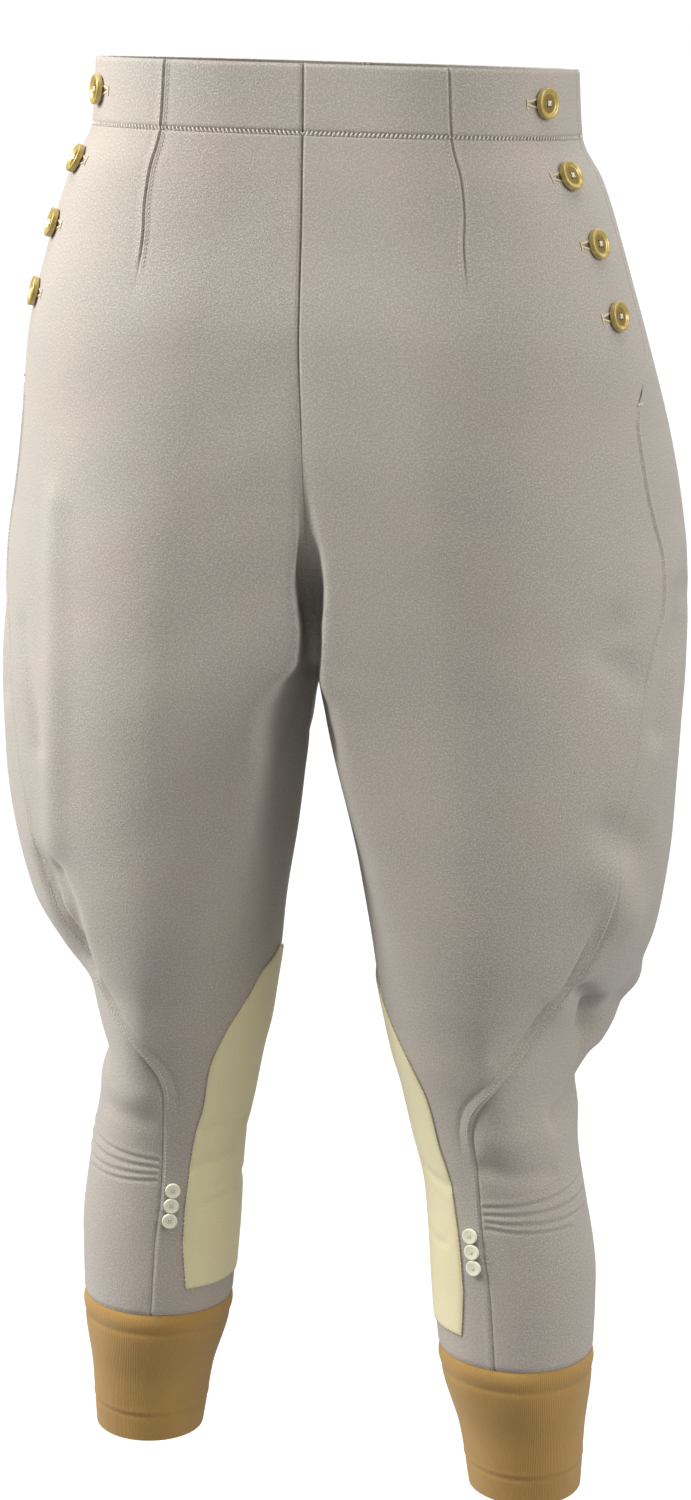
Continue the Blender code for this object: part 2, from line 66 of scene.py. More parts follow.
# Heights in metres
BAND_TOP = 0.0205
BAND_SEAM = -0.0190
SLIT_END = -0.1750
STRAP_TIP = -0.5360
STRAP_END = -0.7670
CUFF_SEAM = -0.7860
HEM = -0.8800
STAND_END = -0.1650
STAND_DROP = 0.0030

# Walls in metres
WOOL = 0.0020
BAND = 0.0022
SUEDE = 0.0012
KNIT = 0.0018
STAND = 0.0015
SEAM_GAP = 0.0001
STAND_CLEARANCE = 0.0024
EDGE_STEPS = (0.0, 0.35, 0.8, 1.4, 2.2, 3.2)      # millimetres in from a sewn edge
MERGE_REACH = 0.00001
TINY = 1e-12

FULL_TURN = 359.999         # degrees, just short of where the outline closes on itself
TURN_WRAP = 360.0001        # degrees, so that 360 itself isn't taken for 0

# Sections of the wearer's left half, in millimetres. Each power shapes one quarter.
SECTION_COLUMNS = ("height", "middle_x", "inner_x", "inner_front_y", "inner_back_y",
                   "thigh_front_y", "thigh_back_y", "front_y", "outer_x", "outer_y", "back_y",
                   "power_front_in", "power_front_out", "power_back_out", "power_back_in")
SECTIONS = (
    # height mid  in_x   in_f  in_b   th_f th_b   front outer  o_y  back  f_in f_out b_out  b_in
    (  21,   40,    0, -103, 100,   -103, 100,   -103, 147,    0,   100, 2.00, 2.10, 2.10, 2.00),
    ( -20,   42,    0, -105, 103,   -105, 103,   -105, 150,    0,   103, 2.00, 2.10, 2.10, 2.00),
    ( -45,   45,    0, -107, 107,   -107, 107,   -107, 163,    0,   107, 2.00, 2.10, 2.10, 2.00),
    ( -80,   50,    0, -110, 112,   -110, 112,   -110, 175,    0,   113, 2.00, 2.10, 2.10, 2.00),
    (-140,   60,    0, -116, 119,   -116, 119,   -117, 192,   10,   122, 1.70, 2.10, 2.10, 1.70),
    (-200,   68,    0, -116, 114, -116.5, 115,   -118, 205,   40,   126, 1.70, 2.00, 2.00, 1.70),
    (-250,   76,    0, -109,  94, -113.5, 101,   -116, 214,   50,   122, 1.80, 1.90, 2.00, 1.80),
    (-290,   82,    0,  -80,  58, -109.5,  82,   -113, 219,   42,   118, 1.90, 1.80, 1.90, 1.90),
    (-320, 84.5,    0,  -61,  10,   -105,  64, -110.6, 220,   33, 114.2, 2.00, 1.75, 1.85, 2.00),
    (-334, 85.7,    0,  -50, -12,   -102,  55, -109.4, 220, 28.5, 112.4, 2.00, 1.75, 1.85, 2.00),
    (-346, 86.7,    0,  -36, -36,  -98.5,  48, -108.4, 220, 24.8, 110.8, 2.00, 1.75, 1.85, 2.00),
    (-376, 89.5,  5.2,  -36, -36,    -87,  27, -105.8, 219,   17,   107, 2.00, 1.75, 1.80, 2.00),
    (-440,   96, 17.4,  -24, -24,    -60,   2,    -99, 216,   12,   100, 2.00, 1.75, 1.80, 2.00),
    (-510,  102,   31,  -16, -16,    -29, -12,    -90, 206,   24,    92, 2.00, 1.75, 1.80, 2.00),
    (-545,  105,   36,  -12, -12,    -12, -12,    -83, 192,   50,    88, 2.00, 1.75, 1.80, 2.00),
    (-568,  107,   40,  -10, -10,    -10, -10,    -77, 176,   72,    86, 2.00, 1.80, 1.80, 2.00),
    (-590,  109,   44,   -8,  -8,     -8,  -8,    -72, 168,   66,    81, 2.00, 1.90, 1.80, 2.00),
    (-612,  111,   50,   -6,  -6,     -6,  -6,    -66, 160,   46,    73, 2.00, 2.00, 2.00, 2.00),
    (-640,  113,   56,   -5,  -5,     -5,  -5,    -60, 159,   12,    64, 2.00, 2.00, 2.00, 2.00),
    (-680,  115,   65,   -5,  -5,     -5,  -5,    -55, 165,    0,    56, 2.00, 2.00, 2.00, 2.00),
    (-740,  120,   69,   -5,  -5,     -5,  -5,    -54, 173,    0,    54, 2.00, 2.00, 2.00, 2.00),
    (-800,  124,   75,   -5,  -5,     -5,  -5,    -53, 172,    0,    54, 2.00, 2.00, 2.00, 2.00),
    (-840,  127,   87,   -5,  -5,     -5,  -5,    -46, 168,    0,    48, 2.00, 2.00, 2.00, 2.00),
    (-880,  130,   94,   -5,  -5,     -5,  -5,    -42, 166,    0,    42, 2.00, 2.00, 2.00, 2.00),
)

# The fork, below which front and back meet at the inner seam, and how wide and how steep the drop
# into it is, from the fronts and backs of the thighs to the inner seam.
FORK_LEVEL = -346
FORK_COLUMNS = ("height", "width", "steepness")
FORK = ((-190, 4, 4.0), (-237, 4.5, 5.0), (-262, 6, 6.0), (-283, 8, 6.0), (-300, 7, 6.0),
        (-311, 6, 6.0), (-332, 6, 5.0), (-346, 9, 3.0), (-360, 11.5, 2.2), (-376, 11.5, 2.2),
        (-400, 10, 2.4), (-440, 11, 2.4), (-545, 16, 2.2))
LEVEL_SLACK = 1e-6
CLOSED_REACH = 2.0    # beside the middle seam, where folds don't pull its sides apart

# Stance, in millimetres: the hips lean to the wearer's left and the left leg stands a step forward.
STANCE_COLUMNS = ("height", "lean_x", "step_y")
STANCE = ((21, -0.5, 0), (0, 0, 0), (-345, 7, 0), (-440, 9.5, -5), (-560, 13, -10),
          (-680, 18.5, -14), (-880, 24, -16))
# How far the cloth beside the middle seam strays sideways from that lean, fading out over the
# reach, and how much further the floor of the fork does.
DRIFT_COLUMNS = ("height", "drift_x", "floor_x")
DRIFT = ((21, 0, 0), (-130, 0.8, 0), (-195, 3, 0), (-237, 5.5, -1.2), (-262, 8.5, -4.3),
         (-283, 8, -4.8), (-311, 8, -6.8), (-332, 6, -7), (-346, 0, -2), (-376, -2, 0),
         (-400, -2, 0), (-470, 0, 0), (-880, 0, 0))
DRIFT_REACH = 60

# Lines across the cloth: height in millimetres, turn in degrees.
LINE_COLUMNS = ("height", "turn")
SIDE_SEAM = ((21, 176), (-110, 176), (-145, 174), (-163, 166), (-175, 160), (-190, 156),
             (-225, 155), (-245, 156), (-272, 158.5), (-290, 158.5), (-307, 157.5), (-323, 154.5),
             (-350, 151), (-400, 148), (-440, 144), (-490, 141), (-523, 135), (-552, 126),
             (-580, 114), (-598, 99), (-608, 89), (-618, 83), (-630, 80), (-700, 80), (-740, 82),
             (-880, 82))
STRAP_FRONT = ((-536, 0), (-540, 5), (-547, 19), (-560, 28), (-572, 36), (-584, 43), (-597, 48),
               (-612, 51.5), (-640, 53.5), (-660, 57), (-687, 59), (-715, 61), (-732, 61),
               (-750, 59), (-767, 56.5))
STRAP_BACK = ((-536, 0), (-540, -5), (-547, -20), (-560, -31), (-572, -41), (-584, -48),
              (-600, -55), (-700, -58), (-767, -57))
DART = ((21, 113), (-33, 113), (-60, 112), (-82, 110), (-105, 109), (-200, 106), (-300, 100),
        (-450, 85), (-560, 70), (-620, 50), (-700, 48), (-880, 48))

# Rows of points from the waist seam to the cuff seam: the height of each row at its inner and outer
# ends in millimetres, the rows up to it, and a power that draws rows together at the inner end.
ROWS = (
    # inner    outer   rows  power
    (-19.15, -19.15, 0, 1.0),
    (-22.4, -22.4, 5, 1.0),
    (-130, -133, 36, 1.0),
    (-250, -245, 38, 1.0),
    (-346, -352, 36, 1.6),
    (-536, -528, 62, 1.0),
    (-600, -600, 28, 1.0),
    (-655, -655, 24, 1.0),
    (-697, -697, 40, 1.0),
    (-767, -767, 22, 1.0),
    (-782, -782, 6, 1.0),
    (-785.85, -785.85, 5, 1.0),
)

# Folds of wear, in millimetres and degrees: the leg, three places on the path, the depth (a ridge
# is negative) and the half width. The first thirteen are in the solids too.
FOLD_COLUMNS = ("leg", "turn_1", "height_1", "turn_2", "height_2", "turn_3", "height_3", "depth",
                "width")
FOLDS = (
    ("left", 137, -541, 146, -555, 156, -579, 7.0, 8.5),
    ("right", 131, -488, 126, -514, 126, -548, 7.0, 9.0),
    ("right", 235, -585, 200, -606, 140, -618, 6.0, 9.0),
    ("left", 235, -590, 200, -612, 146, -625, 6.0, 9.0),
    ("left", 198, -288, 184, -288, 170, -297, 3.2, 11.0),
    ("both", 168, -314, 162, -340, 159, -374, 4.5, 10.0),
    ("left", 140, -306, 136, -320, 146, -338, 3.5, 12.0),
    ("left", 139, -430, 144, -437, 151, -444, 4.0, 13.0),
    ("both", 250, -300, 262, -330, 300, -345, 5.0, 12.0),
    ("both", 240, -330, 262, -352, 310, -362, 4.0, 10.0),
    ("both", 225, -640, 255, -646, 300, -640, 4.0, 9.0),
    ("both", 220, -662, 250, -668, 305, -662, 3.0, 8.0),
    ("left", 175, -554, 171, -562, 168, -572, -6.5, 16.0),
    ("left", 201, -287, 191, -287, 181, -289, -2.9, 9.5),
    ("left", 179, -562, 175, -576, 172, -592, -3.6, 8.5),
    ("left", 148, -562, 154, -578, 160, -598, 4.0, 11.0),
    ("right", 139, -484, 135, -514, 132, -545, 4.0, 11.0),
    # the wings: the pressed front edge on the right, the hollows and the lit bulge on the left
    ("right", 127, -246, 126, -350, 129, -462, -3.0, 12.0),
    ("right", 142, -330, 137, -365, 134, -402, 2.6, 8.0),
    ("left", 140, -462, 144, -474, 150, -490, -5.5, 17.0),
    ("left", 171, -262, 168, -272, 166, -280, -1.6, 9.0),
    ("left", 120, -545, 112, -560, 103, -573, 1.6, 7.0),
    # the groin and the inner thighs
    ("both", 18, -262, 22, -292, 10, -326, 1.5, 8.0),
    ("right", 22, -358, 27, -396, 30, -440, 1.0, 9.0),
    ("left", 26, -362, 36, -402, 40, -452, 1.2, 10.0),
    # round the knees
    ("left", 86, -651, 112, -655, 138, -656, 1.8, 6.5),
    ("right", 90, -650, 112, -648, 136, -646, 1.0, 6.5),
    ("both", 92, -632, 112, -634, 132, -630, -1.6, 10.0),
    ("both", 230, -618, 260, -624, 292, -616, 2.6, 6.0),
    ("both", 214, -690, 246, -699, 286, -694, 1.6, 5.5),
    ("left", 226, -722, 250, -727, 276, -722, 1.2, 5.0),
    ("right", 232, -714, 258, -722, 290, -718, 1.4, 5.0),
    # the suede at the inner knees
    ("right", 52, -657, 36, -654, 10, -656, 1.5, 3.2),
    ("right", 56, -683, 45, -680.5, 22, -678, 1.6, 3.4),
    ("right", 47, -711, 32, -707.5, 12, -707, 1.3, 2.8),
    ("right", 38, -699, 30, -697, 20, -694, 0.7, 2.4),
    ("left", 55, -668, 46, -666, 24, -662, 1.4, 3.6),
    ("left", 46, -708, 36, -709, 18, -705, 0.9, 3.2),
    ("both", -8, -668, -26, -664, -46, -668, 1.6, 4.2),
    ("both", -4, -700, -24, -703, -44, -698, 1.2, 3.8),
    # the seat, and the back of the wings
    ("both", 352, -268, 332, -286, 306, -300, 2.6, 9.0),
    ("both", 350, -232, 338, -250, 322, -262, 1.4, 8.0),
    ("left", 214, -318, 209, -388, 207, -462, 2.6, 12.0),
    ("right", 218, -338, 212, -402, 208, -478, 2.4, 13.0),
    ("both", 196, -372, 193, -440, 198, -500, -1.8, 12.0),
    ("left", 238, -432, 252, -470, 270, -500, 1.8, 10.0),
    ("right", 232, -420, 250, -452, 274, -476, 2.0, 10.0),
    ("both", 222, -552, 246, -566, 276, -566, 2.4, 8.0),
    ("both", 344, -368, 330, -410, 322, -462, 1.6, 10.0),
)

# Relief of the sewing in millimetres: depth (a ridge is negative), offset and half width of each
# groove or ridge.
LEVEL_RELIEF = (
    (1.5, BAND_SEAM / MM, 1.25),
    (1.0, CUFF_SEAM / MM, 1.8),
    (-0.8, CUFF_SEAM / MM - 7.0, 4.2),      # the rolled top of the cuff
    (0.7, CUFF_SEAM / MM - 14.0, 1.6),
    (0.8, HEM / MM + 18.0, 1.3),            # the edge of the turned hem
    (-0.4, HEM / MM + 20.8, 1.3),
    (0.7, BAND_TOP / MM, 1.3),
)
WELT_OFFSET = -3.2          # the welt lies before the side seam, with a groove on each side
WELT = ((-1.8, WELT_OFFSET, 2.0),)
WELT_GROOVES = ((2.16, WELT_OFFSET - 5.2, 1.7), (2.16, 1.6, 2.0))
THIGH_EDGE = ((-0.6, 2.1, 1.0), (0.35, 4.0, 0.9))
DART_STITCH_OFFSET = 2.9    # on each side, in a groove of their own
DART_RELIEF = ((1.08, 0.0, 0.7), (-0.35, 1.5, 0.8), (0.40, DART_STITCH_OFFSET, 0.55))
DART_RISE = 24              # above the dart's end, where the relief is whole

# Where each relief of the side seam shows, in millimetres of height: its start, where it is whole,
# where it fades and its end.
THIGH_STRETCH = (-178, -184, -325, -352)
FLAT_STRETCH = (-335, -365, -455, -500)
FLAT_SHARE = 0.6            # of the seam's depth, lost along the flat stretch
KNEE_STRETCH = (-470, -500, -618, -655)
KNEE_LOSS = 0.65            # of the welt's height, lost over the fade
KNEE_FADE = (555, 600)      # millimetres below the waist, as are the next two
SHIN_START = (640, 668)
MIDDLE_FADE = (110, 225)
SHIN_END = (-790, -786)
WOOL_END = -786

# Sewn tucks on the outside of the knee: turn at the far end and heights at the seam and far end.
TUCK_COLUMNS = ("far_turn", "height_at_seam", "height_far")
TUCKS = ((178, -677, -667), (178, -682, -677), (174, -687, -687), (150, -691, -694))
TUCK_SEAM_TURN = 84

# Rows of stitches: the lower and upper end of each in metres, and beside the side seam also its
# offset from the seam and its lift in millimetres.
DART_ROW = (-0.1000, -0.0225)
BAND_DART_ROW = (-0.0165, 0.0185)
SEAM_ROWS = ((-0.335, -0.180, 2.1, 0.1), (-0.640, -0.440, WELT_OFFSET, 0.1),
             (-0.712, -0.655, -2.4, 0.05))
LOOSE_END = -0.7125

# Buttons: height and turn of each, in millimetres and degrees.
SIDE_BUTTONS = ((1, 150), (-41, 153), (-80, 157), (-122, 158))
KNEE_BUTTONS = ((-697.2, 71), (-707.7, 71.5), (-718.2, 72))


class Side(Enum):
    """The wearer's left and right, with the sign of X."""

    LEFT = ("left", 1.0)
    RIGHT = ("right", -1.0)

    @property
    def word(self) -> str:
        """The side's name."""
        return self.value[0]

    @property
    def sign(self) -> float:
        """1 on the wearer's left and -1 on the right."""
        return self.value[1]


class Hold(Enum):
    """How a sheet of cloth is held."""

    HUNG = "hung"
    LAID = "laid"
    STRETCHED = "stretched"


# --- the surface


def smooth_through(knots: list[float], values: list[float], at: Numbers) -> np.ndarray:
    """A curve through the knots that never overshoots them (monotone cubic).

    Args:
        knots: Places of the knots, in any order.
        values: The value at each knot.
        at: Where the curve is read.

    Returns:
        The curve's value at each place.
    """
    order = np.argsort(knots)
    knots = np.asarray(knots, float)[order]
    values = np.asarray(values, float)[order]
    step = np.diff(knots)
    rise = np.diff(values) / step
    slope = np.empty(len(knots))
    slope[0], slope[-1] = rise[0], rise[-1]
    for k in range(1, len(knots) - 1):
        if rise[k - 1] * rise[k] <= 0:
            slope[k] = 0.0
            continue
        w_1 = 2 * step[k] + step[k - 1]
        w_2 = step[k] + 2 * step[k - 1]
        slope[k] = (w_1 + w_2) / (w_1 / rise[k - 1] + w_2 / rise[k])
    at = np.clip(np.asarray(at, float), knots[0], knots[-1])
    k = np.clip(np.searchsorted(knots, at, side="right") - 1, 0, len(knots) - 2)
    t = (at - knots[k]) / step[k]
    return ((2 * t**3 - 3 * t**2 + 1) * values[k] + (t**3 - 2 * t**2 + t) * step[k] * slope[k]
            + (3 * t**2 - 2 * t**3) * values[k + 1] + (t**3 - t**2) * step[k] * slope[k + 1])


def read(table: tuple, columns: tuple[str, ...], name: str,
         height: Numbers) -> np.ndarray:
    """One column of a table.

    Args:
        table: Rows of numbers, each with its height in millimetres.
        columns: The names of the table's columns.
        name: The column to read.
        height: Heights in metres.

    Returns:
        The column's value at each height.
    """
    column = columns.index(name)
    return smooth_through([row[0] for row in table], [row[column] for row in table],
                          np.asarray(height) / MM)


def line_turn(line: tuple, height: Numbers) -> np.ndarray:
    """The turn of a line across the cloth at a height in metres."""
    return read(line, LINE_COLUMNS, "turn", height)


def bell(distance: np.ndarray, width: float) -> np.ndarray:
    """1 at no distance, fading smoothly to 0 beyond the width."""
    return np.exp(-(distance / width) ** 2)


def fade(value: np.ndarray, low: float, high: float) -> np.ndarray:
    """0 below low and 1 above high, with a smooth rise between them."""
    share = np.clip((value - low) / (high - low), 0, 1)
    return share * share * (3 - 2 * share)


def pair(turn: Numbers, height: Numbers) -> tuple[np.ndarray, np.ndarray]:
    """Turns and heights as arrays of one shape."""
    return tuple(np.broadcast_arrays(np.asarray(turn, float), np.asarray(height, float)))


def run_along(points: np.ndarray) -> np.ndarray:
    """Length from the first point of each row of points to each of its points, in metres."""
    steps = np.linalg.norm(np.diff(points, axis=-2), axis=-1)
    return np.concatenate([np.zeros_like(steps[..., :1]), np.cumsum(steps, axis=-1)], axis=-1)


def relief(distance: np.ndarray, lines: tuple[tuple[float, float, float], ...]) -> np.ndarray:
    """How far cloth sinks beside a line.

    Args:
        distance: Distance from the line in millimetres.
        lines: A depth (a ridge is negative), an offset and a half width for each groove or ridge.

    Returns:
        The sum of the grooves and ridges, in millimetres.
    """
    return sum(depth * bell(distance - offset, width) for depth, offset, width in lines)


def stretch(z: np.ndarray, start: float, whole: float, fading: float, end: float) -> np.ndarray:
    """1 along a stretch of a seam, from its smooth start down to its smooth end.

    Args:
        z: Heights in millimetres.
        start: The height where the stretch starts.
        whole: Where it reaches 1.
        fading: Where it starts to fade again.
        end: Where it is 0 again.

    Returns:
        The share at each height.
    """
    return fade(-z, -start, -whole) * fade(z, end, fading)


@dataclass
class Form:
    """The garment's outer surface: sections, stance, folds of wear and the relief of its seams."""

    turn_step: float = 0.5
    height_step: float = 0.002
    seam_depth: float = 0.9     # millimetres, as are the sizes below
    seam_width: float = 0.95
    middle_width: float = 0.75
    middle_share: float = 2.3    # of the seam's depth, at the waist
    middle_loss: float = 1.75    # of the seam's depth, on the way down to the fork
    dart_end: float = -110.0
    dart_dimple: float = 0.45
    dimple_rise: float = 22      # where it starts under the dart's end
    dimple_height: float = 14
    dimple_width: float = 6
    shin_share: float = 0.25     # of the welt's height at the knee
    tuck_depth: float = 0.8
    tuck_width: float = 1.5
    tuck_lip: float = 0.5
    lip_offset: float = 2.4
    lip_width: float = 1.6
    tuck_reach: float = 12
    slow_waves: float = 0.35
    quick_waves: float = 0.16
    levels: np.ndarray = field(init=False)
    fine: np.ndarray = field(init=False)
    arcs: np.ndarray = field(init=False)
    folds: list[tuple[str, np.ndarray, float, float]] = field(default_factory=list)
    tucks: list[np.ndarray] = field(default_factory=list)

    def __post_init__(self) -> None:
        """Measures the length round the surface at every level and lays out the folds."""
        self.levels = np.arange(HEM - 0.004, BAND_TOP + 0.004, self.height_step)
        self.fine = np.arange(0, 360 + self.turn_step / 2, self.turn_step)
        points = self.plain(self.fine[None, :], self.levels[:, None])
        self.arcs = run_along(points)
        for values in FOLDS:
            fold = dict(zip(FOLD_COLUMNS, values))
            path = self.path([fold[f"turn_{k}"] for k in (1, 2, 3)],
                             [fold[f"height_{k}"] for k in (1, 2, 3)])
            self.folds.append((fold["leg"], path, fold["depth"], fold["width"]))
        for values in TUCKS:
            tuck = dict(zip(TUCK_COLUMNS, values))
            middle = (tuck["height_at_seam"] + tuck["height_far"]) / 2 - 1.0
            self.tucks.append(self.path((TUCK_SEAM_TURN, (TUCK_SEAM_TURN + tuck["far_turn"]) / 2,
                                         tuck["far_turn"]),
                                        (tuck["height_at_seam"], middle, tuck["height_far"])))

    def path(self, turns: tuple, heights: tuple, count: int = 33) -> np.ndarray:
        """Points of a smooth path through three places of the plain surface, in millimetres.

        Args:
            turns: Three turns in degrees.
            heights: Three heights in millimetres.
            count: How many points the path has.

        Returns:
            The points.
        """
        share = np.linspace(0, 1, count)
        return self.plain(smooth_through((0, 0.5, 1), turns, share),
                          smooth_through((0, 0.5, 1), heights, share) * MM) / MM

    def plain(self, turn: np.ndarray, height: np.ndarray) -> np.ndarray:
        """Points of the left half before stance and folds; a turn below 0 comes from the back.

        Args:
            turn: Turns in degrees.
            height: Heights in metres.

        Returns:
            The points, in metres.
        """
        turn, height = pair(np.asarray(turn, float) % TURN_WRAP, height)
        at = {name: read(SECTIONS, SECTION_COLUMNS, name, height) for name in SECTION_COLUMNS[1:]}
        quarter = np.clip(turn // 90, 0, 3)
        angle = np.radians(turn - 90 * quarter)
        rise = np.clip(np.sin(angle), 0, 1)
        run = np.clip(np.cos(angle), 0, 1)
        thighs = {"inner_front_y": at["thigh_front_y"], "inner_back_y": at["thigh_back_y"]}
        width, steepness = (read(FORK, FORK_COLUMNS, name, height) for name in FORK_COLUMNS[1:])
        x = np.zeros(turn.shape)
        y = np.zeros(turn.shape)
        for index, power, side_x, side_y, end_y, inward in (
                (0, "power_front_in", "inner_x", "inner_front_y", "front_y", True),
                (1, "power_front_out", "outer_x", "outer_y", "front_y", False),
                (2, "power_back_out", "outer_x", "outer_y", "back_y", True),
                (3, "power_back_in", "inner_x", "inner_back_y", "back_y", False)):
            here = quarter == index
            exponent = 2 / at[power]
            to_side = (run if inward else rise) ** exponent
            to_end = (rise if inward else run) ** exponent
            from_side = thighs.get(side_y, at[side_y])
            x = np.where(here, at["middle_x"] + (at[side_x] - at["middle_x"]) * to_side, x)
            reach = np.exp(-(np.abs(x - at[side_x]) / width) ** steepness)
            drop = (at[side_y] - from_side) * reach
            y = np.where(here, from_side + (at[end_y] - from_side) * to_end + drop, y)
        x = np.maximum(x, SEAM_GAP / 2 / MM)
        return np.stack([x * MM, y * MM, height], axis=-1)

    def in_fork(self, points: np.ndarray) -> np.ndarray:
        """1 for plain points on the floor of the fork, fading to 0 at the fronts of the thighs.

        Args:
            points: Plain points in metres.

        Returns:
            The share at each point.
        """
        inner = read(SECTIONS, SECTION_COLUMNS, "inner_x", points[..., 2])
        width, steepness = (read(FORK, FORK_COLUMNS, name, points[..., 2])
                            for name in FORK_COLUMNS[1:])
        return np.exp(-(np.abs(points[..., 0] / MM - inner) / width) ** steepness)

    def plain_normal(self, turn: np.ndarray, height: np.ndarray) -> np.ndarray:
        """Outward direction of the plain surface, measured over a short step each way.

        Args:
            turn: Turns in degrees.
            height: Heights in metres.

        Returns:
            Unit vectors.
        """
        turn, height = pair(turn, height)
        turn = turn % TURN_WRAP
        reach, lift = 2.5, 0.003
        joined = height < FORK_LEVEL * MM + LEVEL_SLACK
        ahead = np.where(joined, (turn + reach) % 360, np.minimum(turn + reach, 360))
        behind = np.where(joined, (turn - reach) % 360, np.maximum(turn - reach, 0))
        along = self.plain(ahead, height) - self.plain(behind, height)
        top = np.where(joined, np.minimum(height + lift, FORK_LEVEL * MM), height + lift)
        up = self.plain(turn, top) - self.plain(turn, height - lift)
        normal = np.cross(along, up)
        return normal / np.maximum(np.linalg.norm(normal, axis=-1, keepdims=True), TINY)

    def level(self, height: Numbers) -> np.ndarray:
        """A height's place in the list of levels."""
        return np.clip((height - self.levels[0]) / self.height_step, 0, len(self.levels) - 1.001)

    def arc(self, turn: np.ndarray, height: np.ndarray) -> np.ndarray:
        """Length round the surface from turn 0, in millimetres.

        Args:
            turn: Turns in degrees.
            height: Heights in metres.

        Returns:
            The lengths.
        """
        turn, height = pair(np.asarray(turn, float) % TURN_WRAP, height)
        row = self.level(height)
        column = np.clip(turn / self.turn_step, 0, len(self.fine) - 1.001)
        r, c = row.astype(int), column.astype(int)
        a, b = row - r, column - c
        near = self.arcs[r, c] * (1 - b) + self.arcs[r, c + 1] * b
        far = self.arcs[r + 1, c] * (1 - b) + self.arcs[r + 1, c + 1] * b
        return (near * (1 - a) + far * a) / MM

    def turn_at(self, arc: float, height: float) -> float:
        """The turn that lies a length round the surface at a height; both arguments are single.

        Args:
            arc: The length in millimetres.
            height: The height in metres.

        Returns:
            The turn in degrees.
        """
        row = float(self.level(height))
        r = int(row)
        lengths = self.arcs[r] * (1 - row + r) + self.arcs[r + 1] * (row - r)
        return float(np.interp(arc * MM % lengths[-1], lengths, self.fine))

    def beside(self, line: tuple, height: float, offset: float) -> float:
        """The turn at an offset in millimetres, square to a line across the cloth.

        Args:
            line: The line's table.
            height: The height in metres.
            offset: Millimetres towards larger turns.

        Returns:
            The turn in degrees.
        """
        turn = float(line_turn(line, height))
        length = float(self.arc(turn, height)) + offset / self.upright(line, height)
        return self.turn_at(length, height)

    def upright(self, line: tuple, height: Numbers) -> Numbers:
        """1 where a line runs straight down, and less where it runs aslant.

        Args:
            line: The line's table.
            height: Heights in metres.

        Returns:
            The cosine of its slant.
        """
        reach = 0.005
        above = self.plain(line_turn(line, height + reach), height + reach)
        below = self.plain(line_turn(line, height - reach), height - reach)
        across = np.hypot(above[..., 0] - below[..., 0], above[..., 1] - below[..., 1])
        return 2 * reach / np.hypot(2 * reach, across)

    def across(self, line: tuple, turn: np.ndarray, height: np.ndarray) -> np.ndarray:
        """Distance from a line, square to it, in millimetres; positive towards larger turns."""
        length = self.arc(turn, height) - self.arc(line_turn(line, height), height)
        return length * self.upright(line, height)

    def fold_sink(self, side: Side, points: np.ndarray) -> np.ndarray:
        """How far each plain point sinks into its leg's folds, in millimetres.

        Args:
            side: The half of the garment.
            points: Plain points in metres.

        Returns:
            The depth at each point.
        """
        sink = np.zeros(points.shape[:-1])
        for leg, path, depth, width in self.folds:
            if leg in ("both", side.word):
                distance, _ = self.to_path(points, path, width * 3)
                sink += depth * bell(distance, width)
        return sink

    def to_path(self, points: np.ndarray, path: np.ndarray,
                reach: float) -> tuple[np.ndarray, np.ndarray]:
        """Distance from a path, in millimetres.

        Args:
            points: Plain points in metres.
            path: The path's points in millimetres.
            reach: The distance past which the result doesn't matter.

        Returns:
            The distance, and the height above the nearest place of the path.
        """
        spots = points / MM
        low, high = path.min(axis=0) - reach, path.max(axis=0) + reach
        inside = np.all((spots > low) & (spots < high), axis=-1)
        near = np.full(points.shape[:-1], np.inf)
        above = np.zeros(points.shape[:-1])
        chosen = spots[inside]
        if not len(chosen):
            return near, above
        best = np.full(len(chosen), np.inf)
        height = np.zeros(len(chosen))
        for start, end in zip(path[:-1], path[1:]):
            run = end - start
            share = np.clip((chosen - start) @ run / (run @ run), 0, 1)
            foot = start + share[:, None] * run
            distance = np.linalg.norm(chosen - foot, axis=-1)
            height = np.where(distance < best, chosen[:, 2] - foot[:, 2], height)
            best = np.minimum(best, distance)
        near[inside] = best
        above[inside] = height
        return near, above

    def tuck_sink(self, points: np.ndarray) -> np.ndarray:
        """The sewn tucks: under each lip the cloth drops into a crease, in millimetres.

        Args:
            points: Plain points in metres.

        Returns:
            The depth at each point.
        """
        sink = np.zeros(points.shape[:-1])
        for path in self.tucks:
            near, above = self.to_path(points, path, self.tuck_reach)
            sink += self.tuck_depth * bell(near, self.tuck_width)
            lip = np.where(above > 0, bell(near - self.lip_offset, self.lip_width), 0)
            sink -= self.tuck_lip * np.where(np.isfinite(near), lip, 0)
        return sink

    def middle_seam(self, beside: np.ndarray, height: np.ndarray) -> np.ndarray:
        """The groove of the middle seams and inseams, shallow at the fork, in millimetres.

        Args:
            beside: Distance from the seam in millimetres.
            height: Heights in metres.

        Returns:
            How far the cloth sinks into the seam.
        """
        z = height / MM
        depth = self.seam_depth * (self.middle_share - self.middle_loss * fade(-z, *MIDDLE_FADE))
        return depth * bell(beside, self.middle_width) * (z > WOOL_END)

